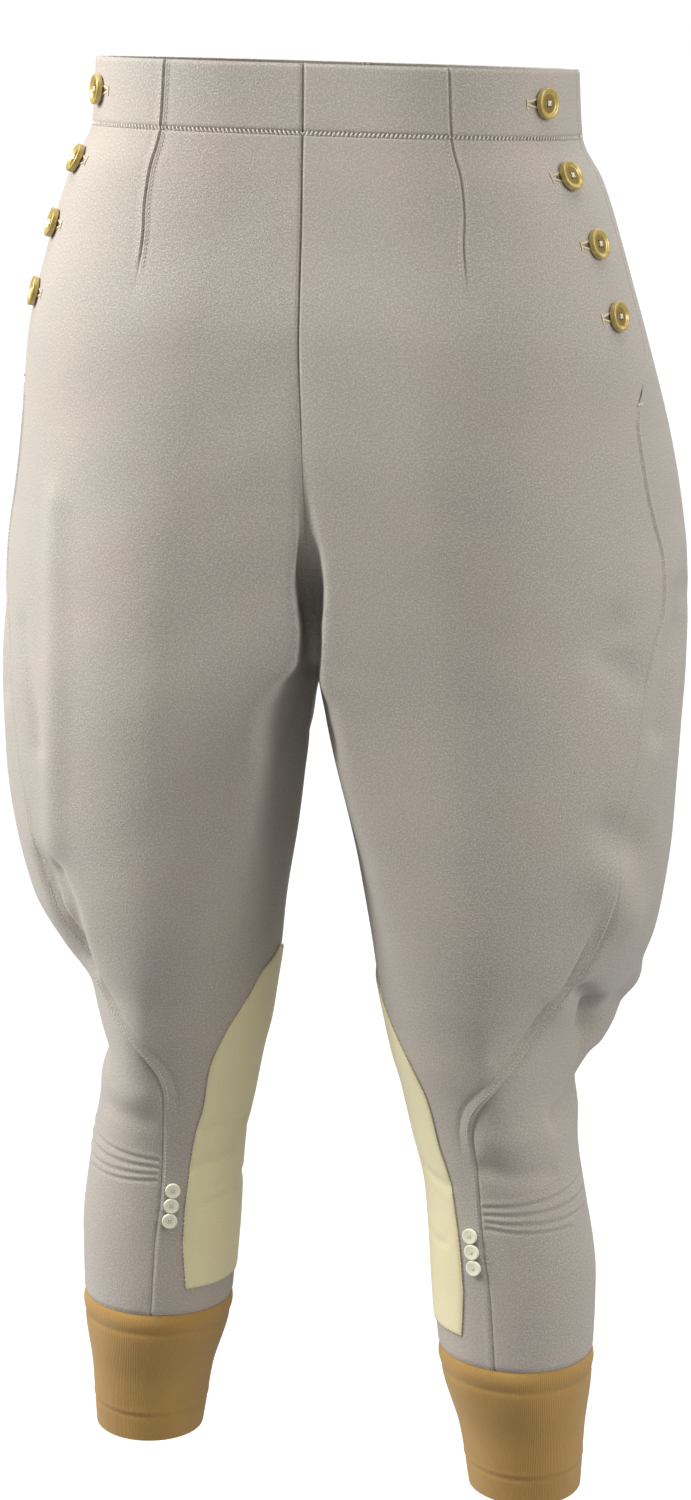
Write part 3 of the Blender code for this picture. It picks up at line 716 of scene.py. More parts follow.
    def seam_sink(self, turn: np.ndarray, height: np.ndarray) -> np.ndarray:
        """Seams, welts, darts and turned edges, in millimetres.

        Args:
            turn: Turns in degrees.
            height: Heights in metres.

        Returns:
            The depth at each place.
        """
        z = height / MM
        length = self.arc(turn, height)
        whole = self.arc(FULL_TURN, height)
        sink = self.middle_seam(np.minimum(length, whole - length), height)
        side = self.across(SIDE_SEAM, turn, height)
        share = 1 - FLAT_SHARE * stretch(z, *FLAT_STRETCH)
        sink += self.seam_depth * share * bell(side, self.seam_width) * (z > WOOL_END)
        knee = stretch(z, *KNEE_STRETCH) * (1 - KNEE_LOSS * fade(-z, *KNEE_FADE))
        shin = fade(-z, *SHIN_START) * fade(z, *SHIN_END)
        sink += (knee + self.shin_share * shin) * relief(side, WELT)
        sink += knee * relief(side, WELT_GROOVES)
        sink += stretch(z, *THIGH_STRETCH) * relief(side, THIGH_EDGE)
        dart = self.across(DART, turn, height)
        closed = fade(z, self.dart_end, self.dart_end + DART_RISE)
        sink += closed * relief(np.abs(dart), DART_RELIEF)
        dimple = fade(z, self.dart_end - self.dimple_rise, self.dart_end)
        dimple *= bell(z - self.dart_end, self.dimple_height) * bell(dart, self.dimple_width)
        sink += self.dart_dimple * dimple
        return sink + relief(z, LEVEL_RELIEF)

    def wander(self, side: Side, points: np.ndarray) -> np.ndarray:
        """The slight unevenness of worn cloth, in millimetres.

        Args:
            side: The half of the garment.
            points: Plain points in metres.

        Returns:
            The depth at each point.
        """
        x, y, z = (points[..., k] / MM for k in range(3))
        turn = 1.7 if side is Side.LEFT else 0.0
        loose = fade(-z, 20, 60)
        slow = np.sin(x / 29 + z / 47 + turn) * np.sin(z / 38 - y / 33 + turn)
        quick = np.sin(x / 13 - y / 17 + z / 23 + 2 * turn) * np.sin(z / 15 + y / 21 - turn)
        return loose * (self.slow_waves * slow + self.quick_waves * quick)

    def sink(self, side: Side, turn: np.ndarray, height: np.ndarray) -> np.ndarray:
        """All that lowers the cloth under the plain surface, in millimetres.

        Args:
            side: The half of the garment.
            turn: Turns in degrees.
            height: Heights in metres.

        Returns:
            The depth at each place.
        """
        turn, height = pair(turn, height)
        points = self.plain(turn, height)
        return (self.fold_sink(side, points) + self.tuck_sink(points) + self.wander(side, points)
                + self.seam_sink(turn, height))

    def place(self, side: Side, turn: np.ndarray, height: np.ndarray,
              sink: Numbers) -> np.ndarray:
        """Points of the worn cloth.

        Args:
            side: The half of the garment.
            turn: Turns in degrees.
            height: Heights in metres.
            sink: How far under the plain surface, in millimetres.

        Returns:
            The points, in metres.
        """
        turn, height = pair(turn, height)
        sink = np.broadcast_to(np.asarray(sink, float), turn.shape) * MM
        plain = self.plain(turn, height)
        points = plain - self.plain_normal(turn, height) * sink[..., None]
        points[..., 0] += bell(plain[..., 0], CLOSED_REACH * MM) * (plain[..., 0] - points[..., 0])
        points[..., 0] = np.maximum(points[..., 0], SEAM_GAP / 2)
        lean, step, drift, floor = (
            read(table, columns, name, points[..., 2])
            for table, columns in ((STANCE, STANCE_COLUMNS), (DRIFT, DRIFT_COLUMNS))
            for name in columns[1:])
        drift = drift * bell(points[..., 0], DRIFT_REACH * MM) + floor * self.in_fork(plain)
        points[..., 0] = side.sign * points[..., 0] + (lean + drift) * MM
        points[..., 1] += side.sign * step * MM
        return points

    def outward(self, side: Side, turn: np.ndarray, height: np.ndarray) -> np.ndarray:
        """Outward direction of one side's cloth.

        Args:
            side: The half of the garment.
            turn: Turns in degrees.
            height: Heights in metres.

        Returns:
            Unit vectors.
        """
        normal = self.plain_normal(turn, height)
        normal[..., 0] *= side.sign
        return normal


# --- modelling tools


def deselect() -> None:
    """Leaves object mode with nothing selected."""
    if bpy.context.mode != "OBJECT":
        bpy.ops.object.mode_set(mode="OBJECT")
    bpy.ops.object.select_all(action="DESELECT")


def only(piece: bpy.types.Object) -> None:
    """Selects one object and makes it active.

    Args:
        piece: The object to select.
    """
    deselect()
    piece.select_set(True)
    bpy.context.view_layer.objects.active = piece


def smooth(piece: bpy.types.Object, degrees: float = 50.0) -> None:
    """Shades a piece smooth but for its sharp edges."""
    only(piece)
    bpy.ops.object.shade_smooth_by_angle(angle=math.radians(degrees))


def add_and_apply(piece: bpy.types.Object, kind: str, **settings: object) -> None:
    """Adds a modifier with its settings and applies it.

    Args:
        piece: The object to change.
        kind: The modifier's type.
        settings: Values of the modifier's properties.
    """
    only(piece)
    modifier = piece.modifiers.new(kind.lower(), kind)
    for name, value in settings.items():
        setattr(modifier, name, value)
    bpy.ops.object.modifier_apply(modifier=modifier.name)


def flat_map(mesh: bpy.types.Mesh) -> bpy.types.MeshUVLoopLayer:
    """A mesh's flat map, under the name that the finishes read.

    Args:
        mesh: The mesh.

    Returns:
        The map, made if there was none.
    """
    layer = mesh.uv_layers.active or mesh.uv_layers.new(name="flat")
    layer.name = "flat"
    return layer


def sheet_mesh(name: str, points: np.ndarray, pattern: np.ndarray, thickness: float,
               closed: bool = False) -> bpy.types.Object:
    """A cloth piece: a grid laid through its outer points and thickened inwards.

    Args:
        name: The piece's name.
        points: Outer points, rows by columns by three, in metres.
        pattern: The flat place of each point, rows by columns by two, in metres.
        thickness: The cloth's thickness in metres.
        closed: True for a tube, whose last column lies on its first.

    Returns:
        The finished object.
    """
    deselect()
    rows, columns = points.shape[:2]
    bpy.ops.mesh.primitive_grid_add(x_subdivisions=columns - 1, y_subdivisions=rows - 1, size=1.0)
    piece = bpy.context.active_object
    piece.name = piece.data.name = name
    mesh = piece.data
    mesh.vertices.foreach_set("co", points.reshape(-1).astype(np.float32))
    corners = np.empty(len(mesh.loops), np.int32)
    mesh.loops.foreach_get("vertex_index", corners)
    flat = pattern.reshape(-1, 2)[corners].reshape(-1)
    flat_map(mesh).data.foreach_set("uv", flat.astype(np.float32))
    mesh.update()
    bpy.ops.object.mode_set(mode="EDIT")
    bpy.ops.mesh.select_all(action="SELECT")
    if closed:
        bpy.ops.mesh.remove_doubles(threshold=MERGE_REACH)
    if turned_in(points):
        bpy.ops.mesh.flip_normals()
    bpy.ops.object.mode_set(mode="OBJECT")
    add_and_apply(piece, "SOLIDIFY", thickness=thickness, offset=-1.0, use_even_offset=False)
    smooth(piece)
    return piece


def turned_in(points: np.ndarray) -> bool:
    """True if a grid's faces look towards the hollow that it lies round.

    Args:
        points: Outer points, rows by columns by three.

    Returns:
        True if the faces have to be flipped.
    """
    rows, columns = points.shape[:2]
    r, c = rows // 2, columns // 2
    along = points[r, c + 1] - points[r, c]
    up = points[r + 1, c] - points[r, c]
    inside = points[r].mean(axis=0)
    if columns > 2 and np.linalg.norm(points[r, 0] - points[r, -1]) > 0.002:
        chord = points[r, -1] - points[r, 0]
        inside = points[r, 0] + chord * 0.5
    return float(np.dot(np.cross(along, up), points[r, c] - inside)) < 0


def turn_about(normal: np.ndarray, along: np.ndarray, angle: float = 0.0) -> np.ndarray:
    """A rotation whose Z is the normal and whose X lies along a direction, turned by an angle.

    Args:
        normal: The outward direction.
        along: The direction of the sewing line.
        angle: A turn about the normal, in degrees.

    Returns:
        A 3 by 3 matrix.
    """
    z = normal / np.linalg.norm(normal)
    x = along - z * (along @ z)
    x = x / max(float(np.linalg.norm(x)), 1e-9)
    y = np.cross(z, x)
    turn = math.radians(angle)
    tilted = x * math.cos(turn) + y * math.sin(turn)
    return np.stack([tilted, np.cross(z, tilted), z], axis=1)


@dataclass
class Thread:
    """Sewn thread: rounded stitches along lines on the cloth, joined into one mesh."""

    length: float = 2.0      # millimetres, as are the sizes below
    width: float = 0.5
    height: float = 0.4
    aim: float = 0.6         # how far ahead and back a stitch takes its direction from
    spots: list[tuple[np.ndarray, np.ndarray, float]] = field(default_factory=list)

    def sew(self, place: np.ndarray, rotation: np.ndarray, scale: float = 1.0) -> None:
        """Adds one stitch.

        Args:
            place: The middle of the stitch, in metres.
            rotation: A matrix with the stitch's length on X and outwards on Z.
            scale: A factor on its length.
        """
        self.spots.append((place, rotation, scale))

    def row(self, form: Form, side: Side, turns: list[float], heights: list[float], pitch: float,
            angle: float = 0.0, lift: float = 0.0, sink: np.ndarray | None = None) -> None:
        """Sews stitches at even steps along a line on the cloth.

        Args:
            form: The garment's surface.
            side: The half that the line lies on.
            turns: Turns of close places along the line.
            heights: Their heights in metres.
            pitch: The step in millimetres.
            angle: How far each stitch turns from the line, in degrees.
            lift: How far the stitch's middle stands off the cloth, in millimetres.
            sink: The cloth's own sink at the places, where it isn't the wool's.
        """
        turns, heights = pair(turns, heights)
        under = form.sink(side, turns, heights) if sink is None else sink
        points = form.place(side, turns, heights, under - lift)
        normals = form.outward(side, turns, heights)
        length = run_along(points) / MM
        count = max(2, int(length[-1] / pitch))
        for mark in (np.arange(count) + 0.5) * length[-1] / count:
            place, ahead, back, normal = (
                np.array([np.interp(spot, length, values[:, k]) for k in range(3)])
                for spot, values in ((mark, points), (mark + self.aim, points),
                                     (mark - self.aim, points), (mark, normals)))
            self.sew(place, turn_about(normal, ahead - back, angle * side.sign))

    def scatter(self, form: Form, side: Side, turns: list[float], heights: list[float],
                lifts: list[float], angles: list[float]) -> None:
        """Sews single stitches, each turned from the level line by its own angle.

        Args:
            form: The garment's surface.
            side: The half that they lie on.
            turns: Turns of their middles.
            heights: Their heights in metres.
            lifts: How far each stands off the cloth, in millimetres.
            angles: How far each turns from the level, in degrees.
        """
        turns, heights = pair(turns, heights)
        sink = form.sink(side, turns, heights) - np.asarray(lifts, float)
        normals = form.outward(side, turns, heights)
        for place, normal, angle in zip(form.place(side, turns, heights, sink), normals, angles):
            self.sew(place, turn_about(normal, np.cross((0, 0, 1.0), normal), angle))

    def build(self, name: str) -> bpy.types.Object:
        """Joins the stitches into one object.

        Args:
            name: The object's name.

        Returns:
            The object.
        """
        deselect()
        bpy.ops.mesh.primitive_uv_sphere_add(segments=6, ring_count=4, radius=0.5)
        stitch = bpy.context.active_object
        bpy.ops.object.mode_set(mode="EDIT")
        bpy.ops.mesh.select_all(action="SELECT")
        bpy.ops.transform.rotate(value=math.pi / 2, orient_axis="Y", center_override=(0, 0, 0))
        bpy.ops.transform.resize(value=(self.length * MM, self.width * MM, self.height * MM),
                                 center_override=(0, 0, 0))
        bpy.ops.object.mode_set(mode="OBJECT")
        corners = np.array([v.co for v in stitch.data.vertices])
        faces = [tuple(face.vertices) for face in stitch.data.polygons]
        bpy.data.objects.remove(stitch, do_unlink=True)
        points, joined = [], []
        for number, (place, rotation, scale) in enumerate(self.spots):
            points.append(corners * (scale, 1, 1) @ rotation.T + place)
            start = number * len(corners)
            joined += [tuple(start + corner for corner in face) for face in faces]
        mesh = bpy.data.meshes.new(name)
        mesh.from_pydata(np.concatenate(points).tolist(), [], joined)
        mesh.shade_smooth()
        piece = bpy.data.objects.new(name, mesh)
        bpy.context.scene.collection.objects.link(piece)
        return piece


# --- finishes


@dataclass
class Graph:
    """A node tree with short ways to add nodes and to join them."""

    tree: bpy.types.NodeTree

    def add(self, kind: str, inputs: dict[str | int, object] | None = None,
            **settings: object) -> bpy.types.Node:
        """Adds a node.

        Args:
            kind: The node's type name, without its ShaderNode prefix.
            inputs: Values or sockets for its inputs.
            settings: Values of its properties.

        Returns:
            The new node.
        """
        node = self.tree.nodes.new(kind if kind.startswith("Node") else "ShaderNode" + kind)
        for name, value in settings.items():
            setattr(node, name, value)
        self.feed(node, inputs or {})
        return node

    def feed(self, node: bpy.types.Node, inputs: dict[str | int, object]) -> None:
        """Joins sockets to a node's inputs, or sets their values.

        Args:
            node: The node to feed.
            inputs: A socket or a value for each input.
        """
        for name, value in inputs.items():
            if isinstance(value, bpy.types.NodeSocket):
                self.tree.links.new(value, node.inputs[name])
            else:
                node.inputs[name].default_value = value

    def math(self, operation: str, first: object, second: object = 0.0) -> bpy.types.NodeSocket:
        """The result of a Math node."""
        return self.add("Math", {0: first, 1: second}, operation=operation).outputs[0]

    def mix(self, factor: object, first: object, second: object) -> bpy.types.NodeSocket:
        """A mix of two colours."""
        node = self.add("Mix", {"Factor": factor, 6: first, 7: second}, data_type="RGBA")
        return node.outputs[2]

    def noise(self, vector: object, scale: float, detail: float = 2.0) -> bpy.types.NodeSocket:
        """The factor of a noise texture."""
        node = self.add("TexNoise", {"Vector": vector, "Scale": scale, "Detail": detail})
        return node.outputs[0]

    def ramp(self, value: object, low: float, high: float) -> bpy.types.NodeSocket:
        """0 at low and 1 at high, held to that range."""
        node = self.add("MapRange", {"Value": value, "From Min": low, "From Max": high})
        return node.outputs[0]

    def group(self, tree: bpy.types.NodeTree, inputs: dict[str, object]) -> bpy.types.Node:
        """Places a node group with its values."""
        return self.add("Group", inputs, node_tree=tree)


CLOTH_SHEEN_ROUGHNESS = 0.6
CLOTH_SPECULAR = 0.2
LINES_TO_WAVE = 0.3142          # the wave texture's scale that draws one line for each unit


def start_group(name: str, inputs: dict[str, tuple[str, object]],
                outputs: dict[str, str]) -> tuple[Graph, bpy.types.Node, bpy.types.Node]:
    """A new node group with named sockets.

    Args:
        name: The group's name.
        inputs: Socket type and first value of each input; a vector has no value.
        outputs: Socket type of each output.

    Returns:
        The graph, its input node and its output node.
    """
    tree = bpy.data.node_groups.new(name, "ShaderNodeTree")
    for label, (kind, value) in inputs.items():
        socket = tree.interface.new_socket(name=label, in_out="INPUT",
                                           socket_type="NodeSocket" + kind)
        if value is not None:
            socket.default_value = value
    for label, kind in outputs.items():
        tree.interface.new_socket(name=label, in_out="OUTPUT", socket_type="NodeSocket" + kind)
    graph = Graph(tree)
    return graph, tree.nodes.new("NodeGroupInput"), tree.nodes.new("NodeGroupOutput")


def start_material(name: str) -> tuple[bpy.types.Material, Graph, bpy.types.Node]:
    """A new material, its graph and its shader.

    Args:
        name: The material's name.

    Returns:
        The material, its graph and its Principled shader.
    """
    material = bpy.data.materials.new(name)
    material.use_nodes = True
    graph = Graph(material.node_tree)
    return material, graph, graph.tree.nodes["Principled BSDF"]


def uneven_dye() -> bpy.types.NodeTree:
    """Colour that wanders between three tones: broad clouds, and flecks of single fibres.

    Returns:
        The node group.
    """
    graph, given, result = start_group(
        "uneven_dye",
        {"Vector": ("Vector", None), "Base": ("Color", (1, 1, 1, 1)),
         "Warm": ("Color", (1, 1, 1, 1)), "Pale": ("Color", (1, 1, 1, 1)),
         "Cloud Scale": ("Float", 14.0),
         "Fleck Scale": ("Float", 900.0), "Fleck Amount": ("Float", 0.5)},
        {"Color": "Color", "Fleck": "Float"})
    vector = given.outputs["Vector"]
    cloud = graph.noise(vector, given.outputs["Cloud Scale"], 3.0)
    warmed = graph.mix(graph.ramp(cloud, 0.35, 0.68), given.outputs["Base"], given.outputs["Warm"])
    fleck = graph.noise(vector, given.outputs["Fleck Scale"], 3.0)
    share = graph.math("MULTIPLY", graph.ramp(fleck, 0.44, 0.66), given.outputs["Fleck Amount"])
    graph.feed(result, {"Color": graph.mix(share, warmed, given.outputs["Pale"]), "Fleck": fleck})
    return graph.tree


def raised_nap() -> bpy.types.NodeTree:
    """Relief of a felted or brushed face: fine fuzz over a softer unevenness.

    Returns:
        The node group.
    """
    graph, given, result = start_group(
        "raised_nap",
        {"Vector": ("Vector", None), "Fuzz Scale": ("Float", 1400.0),
         "Lump Scale": ("Float", 160.0), "Lump Amount": ("Float", 0.5)},
        {"Height": "Float"})
    fuzz = graph.noise(given.outputs["Vector"], given.outputs["Fuzz Scale"], 4.0)
    lump = graph.noise(given.outputs["Vector"], given.outputs["Lump Scale"], 2.0)
    lump = graph.math("MULTIPLY", lump, given.outputs["Lump Amount"])
    graph.feed(result, {"Height": graph.math("ADD", fuzz, lump)})
    return graph.tree


def ribbing() -> bpy.types.NodeTree:
    """Parallel ribs or twill lines, with a direction that the vector's rotation sets.

    Returns:
        The node group.
    """
    graph, given, result = start_group(
        "ribbing",
        {"Vector": ("Vector", None), "Lines": ("Float", 900.0), "Waver": ("Float", 0.6)},
        {"Height": "Float"})
    scaled = graph.add("VectorMath", {0: given.outputs["Vector"], "Scale": given.outputs["Lines"]},
                       operation="SCALE").outputs[0]
    wave = graph.add("TexWave", {"Vector": scaled, "Scale": LINES_TO_WAVE, "Detail": 1.0,
                                 "Detail Scale": 0.4, "Distortion": given.outputs["Waver"]})
    graph.feed(result, {"Height": wave.outputs["Fac"]})
    return graph.tree


def linear(red: int, green: int, blue: int) -> tuple[float, float, float, float]:
    """A linear colour from eight-bit screen values."""
    return (*Color((red / 255, green / 255, blue / 255)).from_srgb_to_scene_linear(), 1.0)


@dataclass(frozen=True)
class ClothFinish:
    """A cloth's colours, weave and nap. Scales are in lines or spots for each metre."""

    name: str
    slot: str
    base: tuple[int, int, int]
    warm: tuple[int, int, int]
    pale: tuple[int, int, int]
    roughness: float
    sheen: float
    lines: float
    line_angle: float
    line_share: float
    nap: float
    lump: float
    fleck: float
    relief: float

    def build(self, groups: dict[str, bpy.types.NodeTree]) -> bpy.types.Material:
        """Makes the material.

        Args:
            groups: The shared node groups.

        Returns:
            The material.
        """
        material, graph, shader = start_material(self.name)
        flat = graph.add("UVMap", uv_map="flat").outputs[0]
        dye = graph.group(groups["dye"], {"Vector": flat, "Base": linear(*self.base),
                                          "Warm": linear(*self.warm), "Pale": linear(*self.pale),
                                          "Fleck Amount": self.fleck})
        nap = graph.group(groups["nap"], {"Vector": flat, "Fuzz Scale": self.nap,
                                          "Lump Amount": self.lump})
        angle = math.radians(self.line_angle)
        turned = graph.add("Mapping", {"Vector": flat, "Rotation": (0, 0, angle)})
        lines = graph.group(groups["ribs"], {"Vector": turned.outputs[0], "Lines": self.lines})
        share = graph.math("MULTIPLY", lines.outputs["Height"], self.line_share)
        height = graph.math("ADD", nap.outputs["Height"], share)
        bump = graph.add("Bump", {"Height": height, "Distance": self.relief * MM, "Strength": 0.8})
        rough = graph.add("MapRange", {"Value": dye.outputs["Fleck"],
                                       "To Min": self.roughness - 0.06,
                                       "To Max": min(1.0, self.roughness + 0.06)})
        graph.feed(shader, {"Base Color": dye.outputs["Color"], "Roughness": rough.outputs[0],
                            "Normal": bump.outputs[0], "Sheen Weight": self.sheen,
                            "Sheen Roughness": CLOTH_SHEEN_ROUGHNESS,
                            "Specular IOR Level": CLOTH_SPECULAR})
        return material


@dataclass(frozen=True)
class ThreadFinish:
    """A sewing thread: one colour, twisted plies and slight wear. One of them is painted shadow
    instead: the dark stitches laid in the buttonholes' slits.
    """

    name: str
    slot: str
    base: tuple[int, int, int]
    worn: tuple[int, int, int]

    def build(self, groups: dict[str, bpy.types.NodeTree]) -> bpy.types.Material:
        """Makes the material.

        Args:
            groups: The shared node groups.

        Returns:
            The material.
        """
        material, graph, shader = start_material(self.name)
        place = graph.add("TexCoord").outputs["Object"]
        dye = graph.group(groups["dye"], {"Vector": place, "Base": linear(*self.base),
                                          "Warm": linear(*self.worn), "Pale": linear(*self.base),
                                          "Cloud Scale": 90.0})
        nap = graph.group(groups["nap"], {"Vector": place, "Fuzz Scale": 2600.0,
                                          "Lump Amount": 0.3})
        bump = graph.add("Bump", {"Height": nap.outputs["Height"], "Distance": 0.1 * MM})
        graph.feed(shader, {"Base Color": dye.outputs["Color"], "Normal": bump.outputs[0],
                            "Roughness": 0.75, "Sheen Weight": 0.15})
        return material


@dataclass(frozen=True)
class ButtonFinish:
    """A moulded button: a rim, and a dish painted darker as the shade in its hollow, with mottling.
    """

    name: str
    slot: str
    rim: tuple[int, int, int]
    # painted shade: the dish colour is darker than the rim's, to stand for the shade in its hollow
    dish: tuple[int, int, int]
    mottle: tuple[int, int, int]
    dish_edge: float
    roughness: float
    metallic: float
    coat: float

    def build(self, groups: dict[str, bpy.types.NodeTree]) -> bpy.types.Material:
        """Makes the material; the button's flat map is centred on it and in metres.

        Args:
            groups: The shared node groups.

        Returns:
            The material.
        """
        material, graph, shader = start_material(self.name)
        flat = graph.add("UVMap", uv_map="flat").outputs[0]
        radius = graph.add("VectorMath", {0: flat}, operation="LENGTH").outputs["Value"]
        # Painted shade: inside dish_edge the button takes the darker dish colour, for the shade in
        # the hollow.
        in_rim = graph.ramp(radius, self.dish_edge * 0.90, self.dish_edge * 1.04)
        rim_and_dish_shade = graph.mix(in_rim, linear(*self.dish), linear(*self.rim))
        place = graph.add("TexCoord").outputs["Object"]
        dye = graph.group(groups["dye"], {"Vector": place, "Base": rim_and_dish_shade, "Pale": rim_and_dish_shade,
                                          "Warm": linear(*self.mottle), "Cloud Scale": 260.0,
                                          "Fleck Scale": 900.0})
        soft = graph.mix(0.55, dye.outputs["Color"], rim_and_dish_shade)
        nap = graph.group(groups["nap"], {"Vector": place, "Fuzz Scale": 900.0, "Lump Amount": 1.0})
        bump = graph.add("Bump", {"Height": nap.outputs["Height"], "Distance": 0.03 * MM})
        rough = graph.add("MapRange", {"Value": dye.outputs["Fleck"],
                                       "To Min": self.roughness - 0.08,
                                       "To Max": self.roughness + 0.10})
        graph.feed(shader, {"Base Color": soft, "Roughness": rough.outputs[0],
                            "Normal": bump.outputs[0], "Metallic": self.metallic,
                            "Coat Weight": self.coat})
        return material


WOOL_FINISH = ClothFinish(
    "taupe_felted_wool", "wool", base=(160, 154, 145), warm=(168, 156, 147), pale=(196, 191, 181),
    roughness=0.90, sheen=0.25, lines=1150.0, line_angle=52.0, line_share=0.35, nap=1000.0,
    lump=0.6, fleck=0.70, relief=0.34)
SUEDE_FINISH = ClothFinish(
    "cream_suede", "suede", base=(222, 212, 171), warm=(216, 205, 161), pale=(234, 226, 193),
    roughness=0.92, sheen=0.35, lines=700.0, line_angle=20.0, line_share=0.0, nap=1500.0, lump=1.1,
    fleck=0.40, relief=0.18)
KNIT_FINISH = ClothFinish(
    "tan_rib_knit", "knit", base=(178, 139, 74), warm=(163, 125, 64), pale=(192, 156, 92),
    roughness=0.88, sheen=0.20, lines=700.0, line_angle=0.0, line_share=0.8, nap=1700.0, lump=0.4,
    fleck=0.30, relief=0.30)
WOOL_THREAD = ThreadFinish("grey_sewing_thread", "wool", (212, 206, 195), (194, 187, 176))
# Painted shadow: this dark thread is laid in each buttonhole's slit to stand for the shade inside
# it.
PAINTED_SLIT_SHADOW = ThreadFinish("painted_slit_shadow", "wool", (112, 104, 96), (100, 92, 84))
SUEDE_THREAD = ThreadFinish("cream_sewing_thread", "suede", (222, 213, 176), (196, 184, 140))
BUTTONHOLE_THREAD = ThreadFinish("beige_buttonhole_twist", "wool", (226, 212, 176), (208, 190, 148))
WHITE_THREAD = ThreadFinish("white_button_thread", "wool", (226, 222, 205), (206, 200, 178))
# The dish colours of both buttons are painted shade in their hollows.
GILT_FINISH = ButtonFinish(
    "mottled_gold_button", "gilt", rim=(205, 182, 106), dish=(150, 126, 62),
    mottle=(120, 98, 44), dish_edge=0.0058, roughness=0.34, metallic=0.25, coat=0.5)
PEARL_FINISH = ButtonFinish(
    "cream_pearl_button", "pearl", rim=(233, 233, 208), dish=(226, 226, 199),
    mottle=(240, 238, 222), dish_edge=0.0030, roughness=0.30, metallic=0.0, coat=0.6)

# Stitches: the length, width and height of each in millimetres, and its thread.
STITCHES = {
    "waist_stitches": ((3.0, 1.15, 0.9), WOOL_THREAD),
    "fine_stitches": ((1.6, 0.65, 0.5), WOOL_THREAD),
    "bar_tack": ((2.0, 0.7, 0.6), WHITE_THREAD),
    "whip_stitches": ((2.8, 0.65, 0.5), SUEDE_THREAD),
    "buttonhole_twist": ((1.3, 0.7, 0.55), BUTTONHOLE_THREAD),
    # painted shadow: dark stitches in the buttonholes' slits, for the shade inside them
    "buttonhole_slit_shadows": ((1.6, 1.3, 0.4), PAINTED_SLIT_SHADOW),
}
SIDE_BUTTON_STITCH = (4.8, 1.9, 1.2)
KNEE_BUTTON_STITCH = (2.3, 0.7, 0.5)


@dataclass
class Wardrobe:
    """Every finish of the garment, built once."""

    groups: dict[str, bpy.types.NodeTree] = field(default_factory=dict)
    materials: dict[str, bpy.types.Material] = field(default_factory=dict)

    def __post_init__(self) -> None:
        """Builds the shared groups and the materials."""
        self.groups = {"dye": uneven_dye(), "nap": raised_nap(), "ribs": ribbing()}
        for finish in (WOOL_FINISH, SUEDE_FINISH, KNIT_FINISH, WOOL_THREAD, PAINTED_SLIT_SHADOW,
                       SUEDE_THREAD, BUTTONHOLE_THREAD, WHITE_THREAD, GILT_FINISH, PEARL_FINISH):
            self.materials[finish.name] = finish.build(self.groups)

    def dress(self, piece: bpy.types.Object, finish: ClothFinish | ThreadFinish | ButtonFinish,
              *nodes: str) -> bpy.types.Object:
        """Gives a piece its finish, fixes it to the garment and lets it stand for its solids.

        Args:
            piece: The finished object.
            finish: Its finish.
            nodes: The solids that it stands for.

        Returns:
            The same object.
        """
        piece.data.materials.clear()
        piece.data.materials.append(self.materials[finish.name])
        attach(piece, BODY)
        if nodes:
            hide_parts(*nodes)
        LOG.info("%s: %d faces", piece.name, len(piece.data.polygons))
        return piece


# --- the pieces


def spaced(low: float, high: float, count: int, close_start: bool = True,
           close_end: bool = True) -> np.ndarray:
    """Marks from low to high, drawn together at the sewn ends.

    Args:
        low: The first mark in millimetres.
        high: The last mark.
        count: Even steps between the ends.
        close_start: True if the marks draw together at the start.
        close_end: True if they draw together at the end.

    Returns:
        The marks.
    """
    edge = np.array(EDGE_STEPS)
    head = low + edge if close_start else np.array([low])
    tail = high - edge[::-1] if close_end else np.array([high])
    even = np.linspace(head[-1], tail[0], count + 1)[1:-1]
    return np.concatenate([head, even, tail])


